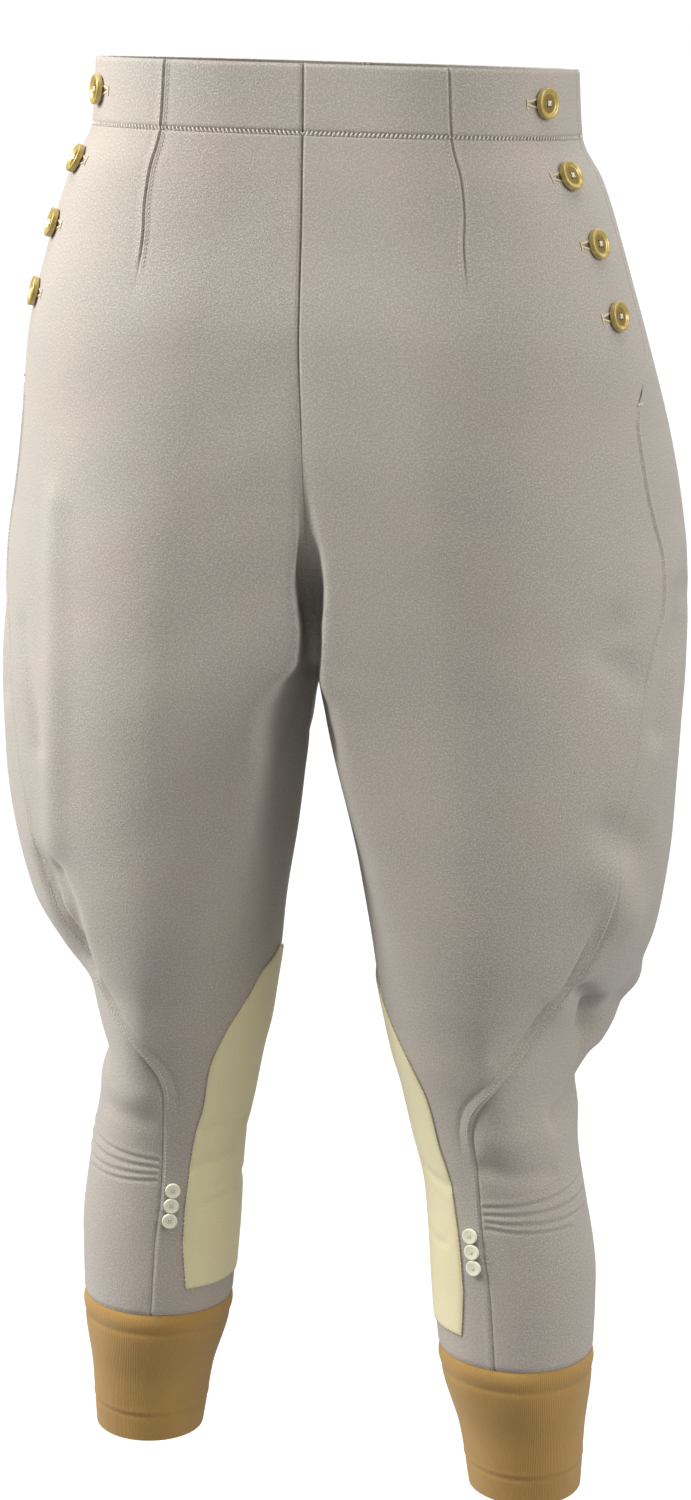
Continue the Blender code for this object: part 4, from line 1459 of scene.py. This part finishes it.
@dataclass
class Layout:
    """Where the rows and columns of the woollen pieces run, the same on both legs."""

    form: Form
    near_columns: int = 36       # centre front to the dart
    far_columns: int = 30        # the dart to the side seam
    back_columns: int = 108
    seam_gap: float = 0.06       # millimetres, as are the sizes below
    slit_gap: float = 0.5
    slit_end_gap: float = 2.6
    grids: dict[bool, tuple[np.ndarray, np.ndarray]] = field(default_factory=dict)

    def pairs(self) -> list[tuple[float, float]]:
        """Inner and outer heights of each row, from the waist seam to the cuff seam.

        Returns:
            A pair of heights in metres for each row.
        """
        pairs = [(ROWS[0][0] * MM, ROWS[0][1] * MM)]
        for inner, outer, count, power in ROWS[1:]:
            top_in, top_out = pairs[-1]
            for k in range(1, count + 1):
                share = k / count
                pairs.append((top_in + (inner * MM - top_in) * (1 - (1 - share) ** power),
                              top_out + (outer * MM - top_out) * share))
        return pairs

    def height(self, inner: float, outer: float, turn: Numbers) -> Numbers:
        """Height along one row, at each turn."""
        return outer + (inner - outer) * (1 + np.cos(np.radians(turn))) / 2

    def meeting(self, inner: float, outer: float, line: tuple) -> float:
        """The turn where a line across the cloth meets a row.

        Args:
            inner: The row's inner height.
            outer: Its outer height.
            line: The line's table.

        Returns:
            The turn in degrees.
        """
        turn = line_turn(line, outer)
        for _ in range(6):
            turn = line_turn(line, self.height(inner, outer, turn))
        return float(turn)

    def side_gap(self, height: float) -> float:
        """Half the gap at the side seam along a row: more where the side opening is.

        Args:
            height: The height in metres.

        Returns:
            Half the gap in millimetres.
        """
        slit = fade(height / MM, SLIT_END / MM - 1, SLIT_END / MM + 1)
        near_end = bell(np.array(height / MM - (SLIT_END / MM + 4)), 4.0)
        opening = self.slit_gap + (self.slit_end_gap - self.slit_gap) * near_end
        gap = self.seam_gap + slit * opening
        return float(gap / 2 / self.form.upright(SIDE_SEAM, height))

    def row(self, inner: float, outer: float, stops: list[float], gaps: list[float],
            counts: list[int]) -> np.ndarray:
        """Turns along one row.

        Args:
            inner: The row's inner height.
            outer: Its outer height.
            stops: Turns of the piece's first edge, inner lines and last edge.
            gaps: Millimetres to keep from the first and the last edge.
            counts: Even steps between the stops.

        Returns:
            The turns of the row's columns.
        """
        fine = np.linspace(0, 360, 1441)
        points = self.form.plain(fine, self.height(inner, outer, fine))
        length = run_along(points) / MM
        marks = [float(np.interp(stop, fine, length)) for stop in stops]
        marks[0] += gaps[0]
        marks[-1] -= gaps[1]
        parts = [spaced(start, end, count) for start, end, count in zip(marks, marks[1:], counts)]
        joined = np.concatenate([parts[0]] + [part[1:] for part in parts[1:]])
        return np.interp(joined, length, fine)

    def panel(self, back: bool) -> tuple[np.ndarray, np.ndarray]:
        """Turns and heights of the grid of a front or a back.

        Args:
            back: True for the back.

        Returns:
            The turns and the heights.
        """
        if back in self.grids:
            return self.grids[back]
        turns, heights = [], []
        for inner, outer in self.pairs():
            side = self.meeting(inner, outer, SIDE_SEAM)
            gap = self.side_gap(float(self.height(inner, outer, side)))
            if back:
                row = self.row(inner, outer, [side, 360], [gap, self.seam_gap / 2],
                               [self.back_columns])
            else:
                dart = self.meeting(inner, outer, DART)
                row = self.row(inner, outer, [0, dart, side], [self.seam_gap / 2, gap],
                               [self.near_columns, self.far_columns])
            turns.append(row)
            heights.append(self.height(inner, outer, row))
        self.grids[back] = np.array(turns), np.array(heights)
        return self.grids[back]

    def band(self, part: str) -> tuple[np.ndarray, np.ndarray]:
        """Turns and heights of the grid of one part of the waistband.

        Args:
            part: Front, side or back.

        Returns:
            The turns and the heights.
        """
        levels = spaced(BAND_SEAM / MM + self.seam_gap, BAND_TOP / MM, 16) * MM
        rows = []
        for height in levels:
            dart, side = (self.meeting(height, height, line) for line in (DART, SIDE_SEAM))
            gap = self.side_gap(height)
            small = self.seam_gap / 2
            stops, gaps, count = {"front": ([0, dart], [small, small], 34),
                                  "side": ([dart, side], [small, gap], 24),
                                  "back": ([side, 360], [gap, small], 64)}[part]
            rows.append(self.row(height, height, stops, gaps, [count]))
        turns = np.array(rows)
        return turns, np.broadcast_to(levels[:, None], turns.shape)


@dataclass(frozen=True)
class Cut:
    """The flat size that a piece was cut to, in metres and square metres."""

    width: float
    length: float
    area: float


PANELS = ("front_{}_wool", "back_{}_wool")


@dataclass
class Maker:
    """What every sub-assembly works with: the surface, the layout and the finishes."""

    form: Form
    layout: Layout
    wardrobe: Wardrobe

    def cloth(self, side: Side, turns: np.ndarray, heights: np.ndarray,
              extra: Numbers = 0.0) -> np.ndarray:
        """Points of the worn cloth at a grid of places, sunk by an extra in millimetres."""
        return self.form.place(side, turns, heights, self.form.sink(side, turns, heights) + extra)

    def pattern(self, turns: np.ndarray, heights: np.ndarray, origin: float = 90.0) -> np.ndarray:
        """The flat place of each point of a grid, in metres, measured from one turn."""
        length = self.form.arc(turns, heights) - self.form.arc(origin, heights)
        return np.stack([length * MM, heights], axis=-1)

    def declare(self, piece: bpy.types.Object, points: np.ndarray, kind: str, held: Hold,
                rests_on: list[str]) -> None:
        """Logs the size and the area that a cloth piece lies over.

        Args:
            piece: The cloth piece.
            points: Its outer points, for the log.
            kind: Its row in the table of cuts; not used.
            held: How it is held; not used.
            rests_on: The pieces that it hangs from or lies on; not used.
        """
        across = points[:, 1:] - points[:, :-1]
        down = points[1:] - points[:-1]
        wide = np.linalg.norm(across, axis=-1).sum(axis=1)
        tall = np.linalg.norm(down, axis=-1).sum(axis=0)
        area = np.linalg.norm(np.cross(across[:-1], down[:, :-1]), axis=-1).sum()
        LOG.info("%s lies over %.0f x %.0f mm and %.4f m2", piece.name, wide.max() / MM,
                 tall.max() / MM, area)


@dataclass
class Half:
    """What every sub-assembly of one half of the garment has."""

    maker: Maker
    side: Side

    @property
    def form(self) -> Form:
        """The garment's surface."""
        return self.maker.form

    def lay(self, kind: str, points: np.ndarray, pattern: np.ndarray, thickness: float,
            finish: ClothFinish, held: Hold, rests_on: tuple[str, ...] = (),
            closed: bool = False) -> None:
        """Makes and dresses one piece of cloth, and logs its size.

        Args:
            kind: The piece's name without its side.
            points: Its outer points in metres.
            pattern: The flat place of each point.
            thickness: The cloth's thickness in metres.
            finish: Its finish.
            held: How it is held.
            rests_on: The pieces of the same half that it hangs from or lies on.
            closed: True for a tube.
        """
        name = f"{kind}_{self.side.word}"
        piece = sheet_mesh(f"{name}_{finish.slot}", points, pattern, thickness, closed=closed)
        self.maker.wardrobe.dress(piece, finish, name)
        self.maker.declare(piece, points, kind, held,
                           [other.format(self.side.word) for other in rests_on])


@dataclass
class Leg(Half):
    """The front and the back of one leg."""

    front_middle: float = 90.0   # the turn where each panel's flat map starts
    back_middle: float = 230.0

    def build(self) -> None:
        """Lays both panels from the waist seam to the cuff seam."""
        for kind, middle in (("front", self.front_middle), ("back", self.back_middle)):
            turns, heights = self.maker.layout.panel(kind == "back")
            self.lay(kind, self.maker.cloth(self.side, turns, heights),
                     self.maker.pattern(turns, heights, middle), WOOL, WOOL_FINISH, Hold.HUNG,
                     (f"waistband_{kind}_{{}}",))


@dataclass
class Strapping(Half):
    """The suede patch round one inner knee, with a whipped edge."""

    rows: int = 110
    columns: int = 76
    edge_drop: float = 0.55      # millimetres, as are the sizes below
    edge_reach: float = 1.1
    clear: float = 0.35
    tip_overlap: float = 1.2
    narrow: float = 16.0         # a row narrower than this has its marks drawn together less
    tick_pitch: float = 3.3
    tick_out: float = 0.15
    tick_sink: float = 0.75
    tick_start: float = 4.0      # below the tip
    tick_end: float = 1.5        # above the lower edge

    def grid(self) -> tuple[np.ndarray, np.ndarray]:
        """Turns and heights of the patch's points.

        Returns:
            The turns and the heights.
        """
        first, last = STRAP_TIP / MM - self.tip_overlap, STRAP_END / MM
        levels = spaced(last, first, self.rows)[::-1] * MM
        rows = []
        for height in levels:
            front, back = self.front_arc(height), self.back_arc(height)
            count = self.columns - 2 * (len(EDGE_STEPS) - 1)
            reach = min(1.0, (front - back) / self.narrow)
            edge = np.array(EDGE_STEPS) * reach
            even = np.linspace(back + edge[-1], front - edge[-1], count + 1)[1:-1]
            rows.append(np.concatenate([back + edge, even, front - edge[::-1]]))
        arcs = np.array(rows)
        turns = np.array([[self.turn_of(arc, height) for arc in row]
                          for row, height in zip(arcs, levels)])
        return turns, np.broadcast_to(levels[:, None], turns.shape)

    def front_arc(self, height: float) -> float:
        """Length from the inseam to the patch's front edge, in millimetres."""
        return float(self.form.arc(line_turn(STRAP_FRONT, height), height))

    def back_arc(self, height: float) -> float:
        """Length from the inseam to the patch's back edge, below 0, in millimetres."""
        whole = float(self.form.arc(360, height))
        return float(self.form.arc(line_turn(STRAP_BACK, height), height)) - whole

    def turn_of(self, arc: float, height: float) -> float:
        """The turn at a length from the inseam; a length below 0 lies on the back."""
        turn = self.form.turn_at(arc, height)
        return turn - 360 if arc < 0 else turn

    def under(self, turns: np.ndarray, heights: np.ndarray) -> np.ndarray:
        """How far the cloth under the patch sinks, with the inseam bridged, in millimetres.

        Args:
            turns: Turns in degrees.
            heights: Heights in metres.

        Returns:
            The depth at each place.
        """
        form = self.form
        sink = form.sink(self.side, turns, heights)
        length = form.arc(turns, heights)
        middle = np.minimum(length, form.arc(FULL_TURN, heights) - length)
        return sink - form.middle_seam(middle, heights)

    def build(self) -> None:
        """Lays the patch over the wool."""
        turns, heights = self.grid()
        form = self.form
        across = form.arc(turns, heights) - np.where(turns < 0, form.arc(360, heights), 0)
        edge = np.minimum.reduce([across - across[:, :1], across[:, -1:] - across,
                                  np.broadcast_to((heights - STRAP_END) / MM, turns.shape)])
        drop = self.edge_drop * bell(edge, self.edge_reach)
        lift = self.clear + SUEDE / MM
        points = form.place(self.side, turns, heights, self.under(turns, heights) + drop - lift)
        flat = np.stack([across * MM, heights], axis=-1)
        self.lay("strapping", points, flat, SUEDE, SUEDE_FINISH, Hold.LAID, PANELS)

    def whip(self, thread: Thread) -> None:
        """Sews short stitches over the patch's front, back and lower edges.

        Args:
            thread: The thread to sew with.
        """
        form = self.form
        top, end = STRAP_TIP - self.tick_start * MM, STRAP_END + self.tick_end * MM
        for back in (False, True):
            heights = np.linspace(top, end, 160)
            turns = []
            for height in heights:
                arc = (self.back_arc(height) + self.tick_out if back
                       else self.front_arc(height) - self.tick_out)
                turns.append(self.turn_of(arc, height))
            thread.row(form, self.side, turns, heights, self.tick_pitch, angle=90,
                       sink=self.under(np.array(turns), heights) - self.clear - self.tick_sink)
        arcs = np.linspace(self.back_arc(end), self.front_arc(end), 90)
        turns = np.array([self.turn_of(arc, end) for arc in arcs])
        level = np.full(len(arcs), STRAP_END + 0.0002)
        thread.row(form, self.side, turns, level, self.tick_pitch, angle=90,
                   sink=self.under(turns, level) - self.clear - self.tick_sink)


@dataclass
class Waistband(Half):
    """The band of one half, in three parts, and the underlap behind the side opening."""

    stand_edge: float = 178
    stand_front: float = 142
    stand_columns: int = 20
    stand_rows: int = 60

    def build(self) -> None:
        """Lays the three parts of the band."""
        for part in ("front", "side", "back"):
            turns, heights = self.maker.layout.band(part)
            self.lay(f"waistband_{part}", self.maker.cloth(self.side, turns, heights),
                     self.maker.pattern(turns, heights), BAND, WOOL_FINISH, Hold.STRETCHED)

    def build_stand(self) -> None:
        """Lays the underlap that carries the side buttons."""
        levels = np.linspace(BAND_TOP - STAND_DROP, STAND_END, self.stand_rows + 1)
        edges = np.minimum(line_turn(SIDE_SEAM, levels) + 4, self.stand_edge)
        turns = np.linspace(edges, np.full(edges.shape, self.stand_front), self.stand_columns + 1,
                            axis=1)
        heights = np.broadcast_to(levels[:, None], turns.shape)
        form = self.form
        plain = form.plain(turns, heights)
        depth = form.fold_sink(self.side, plain) + (BAND + STAND_CLEARANCE) / MM
        self.lay("button_stand", form.place(self.side, turns, heights, depth),
                 self.maker.pattern(turns, heights), STAND, WOOL_FINISH, Hold.HUNG,
                 ("waistband_back_{}_wool",))


@dataclass
class Cuff(Half):
    """The knit cuff of one leg, a tube with a rolled top and a turned hem."""

    columns: int = 170
    rows: int = 62

    def build(self) -> None:
        """Lays the tube."""
        levels = spaced(HEM / MM, CUFF_SEAM / MM - 0.1, self.rows)[::-1] * MM
        turns, heights = np.meshgrid(np.linspace(0, 360, self.columns + 1), levels)
        points = self.maker.cloth(self.side, turns, heights)
        points[:, -1] = points[:, 0]
        whole = float(self.form.arc(FULL_TURN, CUFF_SEAM))
        pattern = np.stack([turns / 360 * whole * MM, heights], axis=-1)
        self.lay("cuff", points, pattern, KNIT, KNIT_FINISH, Hold.STRETCHED, PANELS, closed=True)


@dataclass
class Sewing(Half):
    """The rows of stitches that show on one half."""

    waist_pitch: float = 2.6     # millimetres, as are the sizes below
    waist_lift: float = 1.35
    dart_pitch: float = 2.6
    dart_lift: float = 0.3
    side_pitch: float = 2.4

    def along(self, thread: Thread, line: tuple, low: float, high: float, offset: float,
              pitch: float, lift: float = 0.0, angle: float = 0.0) -> None:
        """Sews a row beside a line across the cloth.

        Args:
            thread: The thread to sew with.
            line: The line's table.
            low: The row's lower end in metres.
            high: Its upper end.
            offset: Millimetres from the line, towards larger turns.
            pitch: The step between stitches.
            lift: How far the stitches stand off the cloth.
            angle: How far each stitch turns from the row, in degrees.
        """
        count = max(6, int((high - low) / 0.003))
        heights = np.linspace(high, low, count)
        turns = [self.form.beside(line, float(height), offset) for height in heights]
        thread.row(self.form, self.side, turns, heights, pitch, angle=angle, lift=lift)

    def waist(self, thread: Thread) -> None:
        """Sews the slanting stitches of the waist seam.

        Args:
            thread: The thread to sew with.
        """
        side = float(line_turn(SIDE_SEAM, BAND_SEAM))
        for first, last in ((0.4, side - 1.5), (side + 1.5, 359.6)):
            turns = np.linspace(first, last, 160)
            thread.row(self.form, self.side, turns, np.full(160, BAND_SEAM), self.waist_pitch,
                       angle=60, lift=self.waist_lift)

    def darts(self, thread: Thread) -> None:
        """Sews the rows beside the dart, which run on over the band on the right.

        Args:
            thread: The thread to sew with.
        """
        for low, high in (DART_ROW, BAND_DART_ROW)[:1 if self.side is Side.LEFT else 2]:
            for offset in (-DART_STITCH_OFFSET, DART_STITCH_OFFSET):
                self.along(thread, DART, low, high, offset, self.dart_pitch, lift=self.dart_lift)

    def sides(self, thread: Thread) -> None:
        """Sews the rows beside the side seam, and a loose end by the left third knee button.

        Args:
            thread: The thread to sew with.
        """
        for low, high, offset, lift in SEAM_ROWS:
            self.along(thread, SIDE_SEAM, low, high, offset, self.side_pitch, lift=lift)
        if self.side is Side.LEFT:
            ends = [self.form.beside(SIDE_SEAM, LOOSE_END, step) for step in (-1.6, 0.2, 2.0)]
            thread.scatter(self.form, self.side, ends, [LOOSE_END] * 3, [0.6] * 3, [4.0] * 3)

    def tack(self, thread: Thread) -> None:
        """Sews the bar across the end of the side opening.

        Args:
            thread: The thread to sew with.
        """
        level = SLIT_END - 0.0002
        turns = [self.form.beside(SIDE_SEAM, level, float(step))
                 for step in np.linspace(-2.6, 2.6, 9)]
        thread.scatter(self.form, self.side, turns, [level] * 9, [0.8] * 9, [82.0] * 9)


@dataclass
class Buttonhole(Half):
    """The worked buttonholes of one side opening, each with two lips, an end bar and dark stitches
    in its slit that are painted shadow.
    """

    inner_end: float = 15.5      # millimetres from the button's middle, as are the sizes below
    outer_end: float = 6.5
    # slit_end and slit_mouth place the painted shadow in the slit
    slit_end: float = 11.5
    lip: float = 0.75
    mouth: float = 2.6
    slit_mouth: float = 0.9
    bar: float = 2.9
    pitch: float = 0.6

    def spots(self, alongs: np.ndarray, ups: np.ndarray) -> tuple[list[float], list[float]]:
        """Turns and heights of places beside every button of the opening.

        Args:
            alongs: Millimetres from the button's middle towards the front.
            ups: Millimetres upwards.

        Returns:
            The turns and the heights.
        """
        form = self.form
        turns, heights = [], []
        for level, turn in SIDE_BUTTONS:
            for along, up in zip(alongs, ups):
                height = (level + up) * MM
                turns.append(form.turn_at(float(form.arc(turn, height)) - along, height))
                heights.append(height)
        return turns, heights

    def work(self, thread: Thread, slit_shadow: Thread) -> None:
        """Sews the buttonholes of the opening.

        Args:
            thread: The twist of the lips and bars.
            slit_shadow: Dark stitches painted as the shadow in the slit between the lips.
        """
        steps = np.arange(self.outer_end, self.inner_end, self.pitch)
        opening = np.interp(steps, (self.outer_end, self.inner_end), (self.mouth, self.lip))
        slit = np.arange(self.outer_end, self.slit_end, self.pitch)
        inside = np.interp(slit, (self.outer_end, self.slit_end), (self.slit_mouth, 0.0))
        across = np.arange(-self.bar, self.bar + 0.1, self.pitch)
        for alongs, ups, sewn, lift, angle in (
                (steps, opening, thread, 0.30, 90.0),
                (steps, -opening, thread, 0.30, 90.0),
                # painted shadow: dark stitches along the slit between the lips
                (slit, inside, slit_shadow, 0.05, 0.0),
                (slit, -inside, slit_shadow, 0.05, 0.0),
                (np.full(len(across), self.inner_end), across, thread, 0.35, 0.0)):
            turns, heights = self.spots(alongs, ups)
            count = len(turns)
            sewn.scatter(self.form, self.side, turns, heights, [lift] * count, [angle] * count)


@dataclass
class Button:
    """One kind of button: a turned disc with a rim, a dish and four holes."""

    maker: Maker
    kind: str
    radius: float
    thickness: float
    rim: float
    slope: float
    dish: float
    hole_radius: float
    hole_spread: float
    finish: ButtonFinish
    table: tuple
    sides: int = 48
    holes: int = 4
    hole_sides: int = 14
    seat: float = 0.0006
    floor_step: float = 0.25     # of the radius
    floor_fall: float = 0.22     # of the dish
    thread_depth: float = 0.62   # of the dish
    edge_round: float = 0.16     # of the thickness
    edge_angle: float = 24.0
    smooth_angle: float = 38.0

    def pick(self, piece: bpy.types.Object, height: float) -> None:
        """Opens a piece in edit mode with the faces at a height selected.

        Args:
            piece: The object.
            height: The height of the faces in metres.
        """
        for face in piece.data.polygons:
            face.select = abs(face.center.z - height) < 0.00002 and face.normal.z > 0.9
        bpy.ops.object.mode_set(mode="EDIT")

    def model(self) -> bpy.types.Object:
        """Turns the button, drills it and maps it flat about its middle.

        Returns:
            The button, at the origin.
        """
        deselect()
        bpy.ops.mesh.primitive_cylinder_add(vertices=self.sides, radius=self.radius,
                                            depth=self.thickness,
                                            location=(0, 0, self.thickness / 2))
        button = bpy.context.active_object
        bpy.ops.object.transform_apply(location=True)
        bpy.ops.object.mode_set(mode="EDIT")
        bpy.ops.mesh.select_mode(type="FACE")
        bpy.ops.mesh.select_all(action="DESELECT")
        bpy.ops.object.mode_set(mode="OBJECT")
        self.pick(button, self.thickness)
        bpy.ops.mesh.inset(thickness=self.rim, depth=0)
        bpy.ops.mesh.inset(thickness=self.slope, depth=-self.dish)
        bpy.ops.mesh.inset(thickness=self.radius * self.floor_step,
                           depth=self.dish * self.floor_fall)
        bpy.ops.object.mode_set(mode="OBJECT")
        add_and_apply(button, "BEVEL", width=self.thickness * self.edge_round, segments=3,
                      limit_method="ANGLE", angle_limit=math.radians(self.edge_angle))
        for number in range(self.holes):
            self.drill(button, math.radians(45 + 360 * number / self.holes))
        smooth(button, self.smooth_angle)
        layer = flat_map(button.data)
        for loop in button.data.loops:
            spot = button.data.vertices[loop.vertex_index].co
            layer.data[loop.index].uv = (spot.x, spot.y)
        return button

    def drill(self, button: bpy.types.Object, angle: float) -> None:
        """Cuts one hole through the button.

        Args:
            button: The button.
            angle: The hole's place round the middle, in radians.
        """
        deselect()
        place = (math.cos(angle) * self.hole_spread, math.sin(angle) * self.hole_spread,
                 self.thickness / 2)
        bpy.ops.mesh.primitive_cylinder_add(vertices=self.hole_sides, radius=self.hole_radius,
                                            depth=self.thickness * 3, location=place)
        pin = bpy.context.active_object
        add_and_apply(button, "BOOLEAN", operation="DIFFERENCE", object=pin, solver="EXACT")
        bpy.data.objects.remove(pin, do_unlink=True)

    def frame(self, side: Side, height: float, turn: float) -> Matrix:
        """The place and the tilt of a button on the cloth.

        Args:
            side: The half of the garment.
            height: The height in millimetres.
            turn: The turn in degrees.

        Returns:
            The matrix that puts it there.
        """
        form = self.maker.form
        turns, heights = np.array([float(turn)]), np.array([height * MM])
        plain = form.plain(turns, heights)
        sink = form.fold_sink(side, plain)
        normal = Vector(form.outward(side, turns, heights)[0])
        seat = Vector(form.place(side, turns, heights, sink)[0]) + normal * self.seat
        return Matrix.Translation(seat) @ normal.to_track_quat("Z", "Y").to_matrix().to_4x4()

    def build(self, thread: Thread) -> None:
        """Fastens a copy at each place of the table, with crossed thread through its holes.

        Args:
            thread: The thread that holds the buttons on.
        """
        master = self.model()
        for side in Side:
            for number, (height, turn) in enumerate(self.table, start=1):
                button = master.copy()
                button.data = master.data.copy()
                name = f"{self.kind}_{side.word}_{number}"
                button.name = button.data.name = f"{name}_turned"
                bpy.context.scene.collection.objects.link(button)
                frame = self.frame(side, height, turn)
                button.data.transform(frame)
                self.maker.wardrobe.dress(button, self.finish, name)
                spot = frame @ Vector((0, 0, self.thickness - self.dish * self.thread_depth))
                turned = np.array(frame.to_3x3())
                for ahead in (np.array([1.0, 1.0, 0]), np.array([1.0, -1.0, 0])):
                    thread.sew(np.array(spot), turned @ turn_about(np.array([0, 0, 1.0]), ahead))
        bpy.data.objects.remove(master, do_unlink=True)


class LampKind(Enum):
    """How a lamp shines."""

    FAR = "SUN"
    NEAR = "AREA"


@dataclass(frozen=True)
class Lamp:
    """A broad soft light that shines from its place towards a target."""

    name: str
    kind: LampKind
    place: tuple[float, float, float]
    target: tuple[float, float, float]
    breadth: float               # degrees for a far lamp, metres for a near one
    power: float
    colour: tuple[float, float, float]

    def hang(self) -> None:
        """Adds the light."""
        light = bpy.data.lights.new(self.name, self.kind.value)
        if self.kind is LampKind.FAR:
            light.angle = math.radians(self.breadth)
        else:
            light.shape = "DISK"
            light.size = self.breadth
        light.energy = self.power
        light.color = self.colour
        lamp = bpy.data.objects.new(self.name, light)
        lamp.visible_camera = False
        lamp.location = self.place
        beam = Vector(self.target) - Vector(self.place)
        lamp.rotation_euler = beam.to_track_quat("-Z", "Y").to_euler()
        bpy.context.scene.collection.objects.link(lamp)


@dataclass
class Studio:
    """The camera, the pale floor and the lights."""

    place: tuple[float, float, float] = (0.3816, -1.9633, 0.040)
    yaw: float = 11.0
    pitch: float = 12.6
    roll: float = 1.6
    lens: float = 77.4
    shift: float = 0.018
    floor: float = -1.150
    surround: float = 0.17
    backdrop: float = 1.0
    floor_grey: float = 0.30
    floor_glow: float = 0.72
    lamps: tuple[Lamp, ...] = (
        Lamp("left_light", LampKind.NEAR, (-1.40, -0.50, 0.70), (0.0, 0.0, -0.35), 0.8, 39.0,
             (1.0, 0.99, 0.97)),
        Lamp("right_light", LampKind.NEAR, (1.40, -0.75, 0.45), (0.0, 0.0, -0.40), 0.8, 10.0,
             (1.0, 0.99, 0.97)),
        Lamp("left_edge_light", LampKind.FAR, (-2.5, -0.3, 0.6), (0.0, 0.0, -0.30), 30.0, 1.0,
             (1.0, 1.0, 0.99)),
        Lamp("right_edge_light", LampKind.FAR, (2.5, -0.3, 0.8), (0.0, 0.0, -0.30), 30.0, 0.9,
             (1.0, 1.0, 0.99)),
        Lamp("top_light", LampKind.FAR, (0.0, -0.45, 3.0), (0.0, 0.0, -0.40), 50.0, 1.6,
             (1.0, 0.99, 0.97)),
        Lamp("back_light", LampKind.FAR, (0.4, 2.4, 1.4), (0.0, 0.0, -0.40), 60.0, 0.9,
             (1.0, 0.99, 0.98)))

    def build(self) -> None:
        """Sets up the whole studio."""
        self.add_camera()
        self.add_floor()
        self.add_world()
        for lamp in self.lamps:
            lamp.hang()

    def add_camera(self) -> None:
        """Adds the camera with its turn, tilt and roll."""
        yaw, pitch, roll = (math.radians(angle) for angle in (self.yaw, self.pitch, self.roll))
        right = Vector((math.cos(yaw), math.sin(yaw), 0))
        ahead = Vector((-math.sin(yaw) * math.cos(pitch), math.cos(yaw) * math.cos(pitch),
                        -math.sin(pitch)))
        up = right.cross(ahead)
        across = right * math.cos(roll) + up * math.sin(roll)
        tall = up * math.cos(roll) - right * math.sin(roll)
        camera = bpy.data.cameras.new("studio_camera")
        camera.lens = self.lens
        camera.sensor_width = 36.0
        camera.shift_x = self.shift
        holder = bpy.data.objects.new("studio_camera", camera)
        turned = Matrix((across, tall, -ahead)).transposed().to_4x4()
        holder.matrix_world = Matrix.Translation(self.place) @ turned
        bpy.context.scene.collection.objects.link(holder)
        bpy.context.scene.camera = holder

    def add_floor(self) -> None:
        """Adds the pale floor, which is white to the eye and throws back little light."""
        deselect()
        bpy.ops.mesh.primitive_plane_add(size=400, location=(0, 0, self.floor))
        floor = bpy.context.active_object
        floor.name = "studio_floor"
        material, graph, shader = start_material("pale_floor")
        graph.feed(shader, {"Base Color": (self.floor_grey,) * 3 + (1.0,), "Roughness": 0.9})
        glow = graph.add("Emission", {"Color": (1.0, 1.0, 1.0, 1.0), "Strength": self.floor_glow})
        both = graph.add("AddShader", {0: shader.outputs[0], 1: glow.outputs[0]})
        seen = graph.add("LightPath").outputs["Is Camera Ray"]
        mix = graph.add("MixShader", {0: seen, 1: shader.outputs[0], 2: both.outputs[0]})
        graph.feed(graph.tree.nodes["Material Output"], {"Surface": mix.outputs[0]})
        floor.data.materials.append(material)

    def add_world(self) -> None:
        """Sets soft surroundings with a white backdrop, and a plain screen response."""
        world = bpy.data.worlds.new("studio_world")
        world.use_nodes = True
        graph = Graph(world.node_tree)
        soft = graph.tree.nodes["Background"]
        graph.feed(soft, {"Color": (0.98, 0.99, 1.0, 1.0), "Strength": self.surround})
        backdrop = graph.add("Background", {"Color": (1.0, 1.0, 1.0, 1.0),
                                            "Strength": self.backdrop})
        seen = graph.add("LightPath").outputs["Is Camera Ray"]
        mix = graph.add("MixShader", {0: seen, 1: soft.outputs[0], 2: backdrop.outputs[0]})
        graph.feed(graph.tree.nodes["World Output"], {"Surface": mix.outputs[0]})
        bpy.context.scene.world = world
        bpy.context.scene.view_settings.view_transform = "Standard"


def build_half(maker: Maker, side: Side) -> None:
    """Builds the cloth of one half and sews it.

    Args:
        maker: The surface, the layout and the finishes.
        side: The half of the garment.
    """
    Leg(maker, side).build()
    strapping = Strapping(maker, side)
    strapping.build()
    band = Waistband(maker, side)
    band.build()
    band.build_stand()
    Cuff(maker, side).build()
    sewing = Sewing(maker, side)
    threads = {name: Thread(*size) for name, (size, _) in STITCHES.items()}
    sewing.waist(threads["waist_stitches"])
    sewing.darts(threads["fine_stitches"])
    sewing.sides(threads["fine_stitches"])
    sewing.tack(threads["bar_tack"])
    strapping.whip(threads["whip_stitches"])
    # The slit stitches are painted shadow inside the buttonholes.
    Buttonhole(maker, side).work(threads["buttonhole_twist"], threads["buttonhole_slit_shadows"])
    for name, (_, finish) in STITCHES.items():
        maker.wardrobe.dress(threads[name].build(f"{name}_{side.word}"), finish)


def build_garment() -> None:
    """Builds every piece of the breeches."""
    form = Form()
    maker = Maker(form, Layout(form), Wardrobe())
    for side in Side:
        build_half(maker, side)
    gilt_thread, pearl_thread = Thread(*SIDE_BUTTON_STITCH), Thread(*KNEE_BUTTON_STITCH)
    Button(maker, "side_button", radius=0.0090, thickness=0.0036, rim=0.0016, slope=0.0012,
           dish=0.0012, hole_radius=0.00085, hole_spread=0.0022, finish=GILT_FINISH,
           table=SIDE_BUTTONS).build(gilt_thread)
    Button(maker, "knee_button", radius=0.0050, thickness=0.0024, rim=0.0012, slope=0.0008,
           dish=0.0003, hole_radius=0.00045, hole_spread=0.0010, finish=PEARL_FINISH,
           table=KNEE_BUTTONS, sides=36).build(pearl_thread)
    for thread, name in ((gilt_thread, "side_button_thread"), (pearl_thread, "knee_button_thread")):
        maker.wardrobe.dress(thread.build(name), WHITE_THREAD)


def main() -> None:
    """Loads the frame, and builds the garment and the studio."""
    logging.basicConfig(level=logging.INFO, format="%(name)s: %(message)s")
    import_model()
    build_garment()
    Studio().build()


if __name__ == "__main__":
    main()
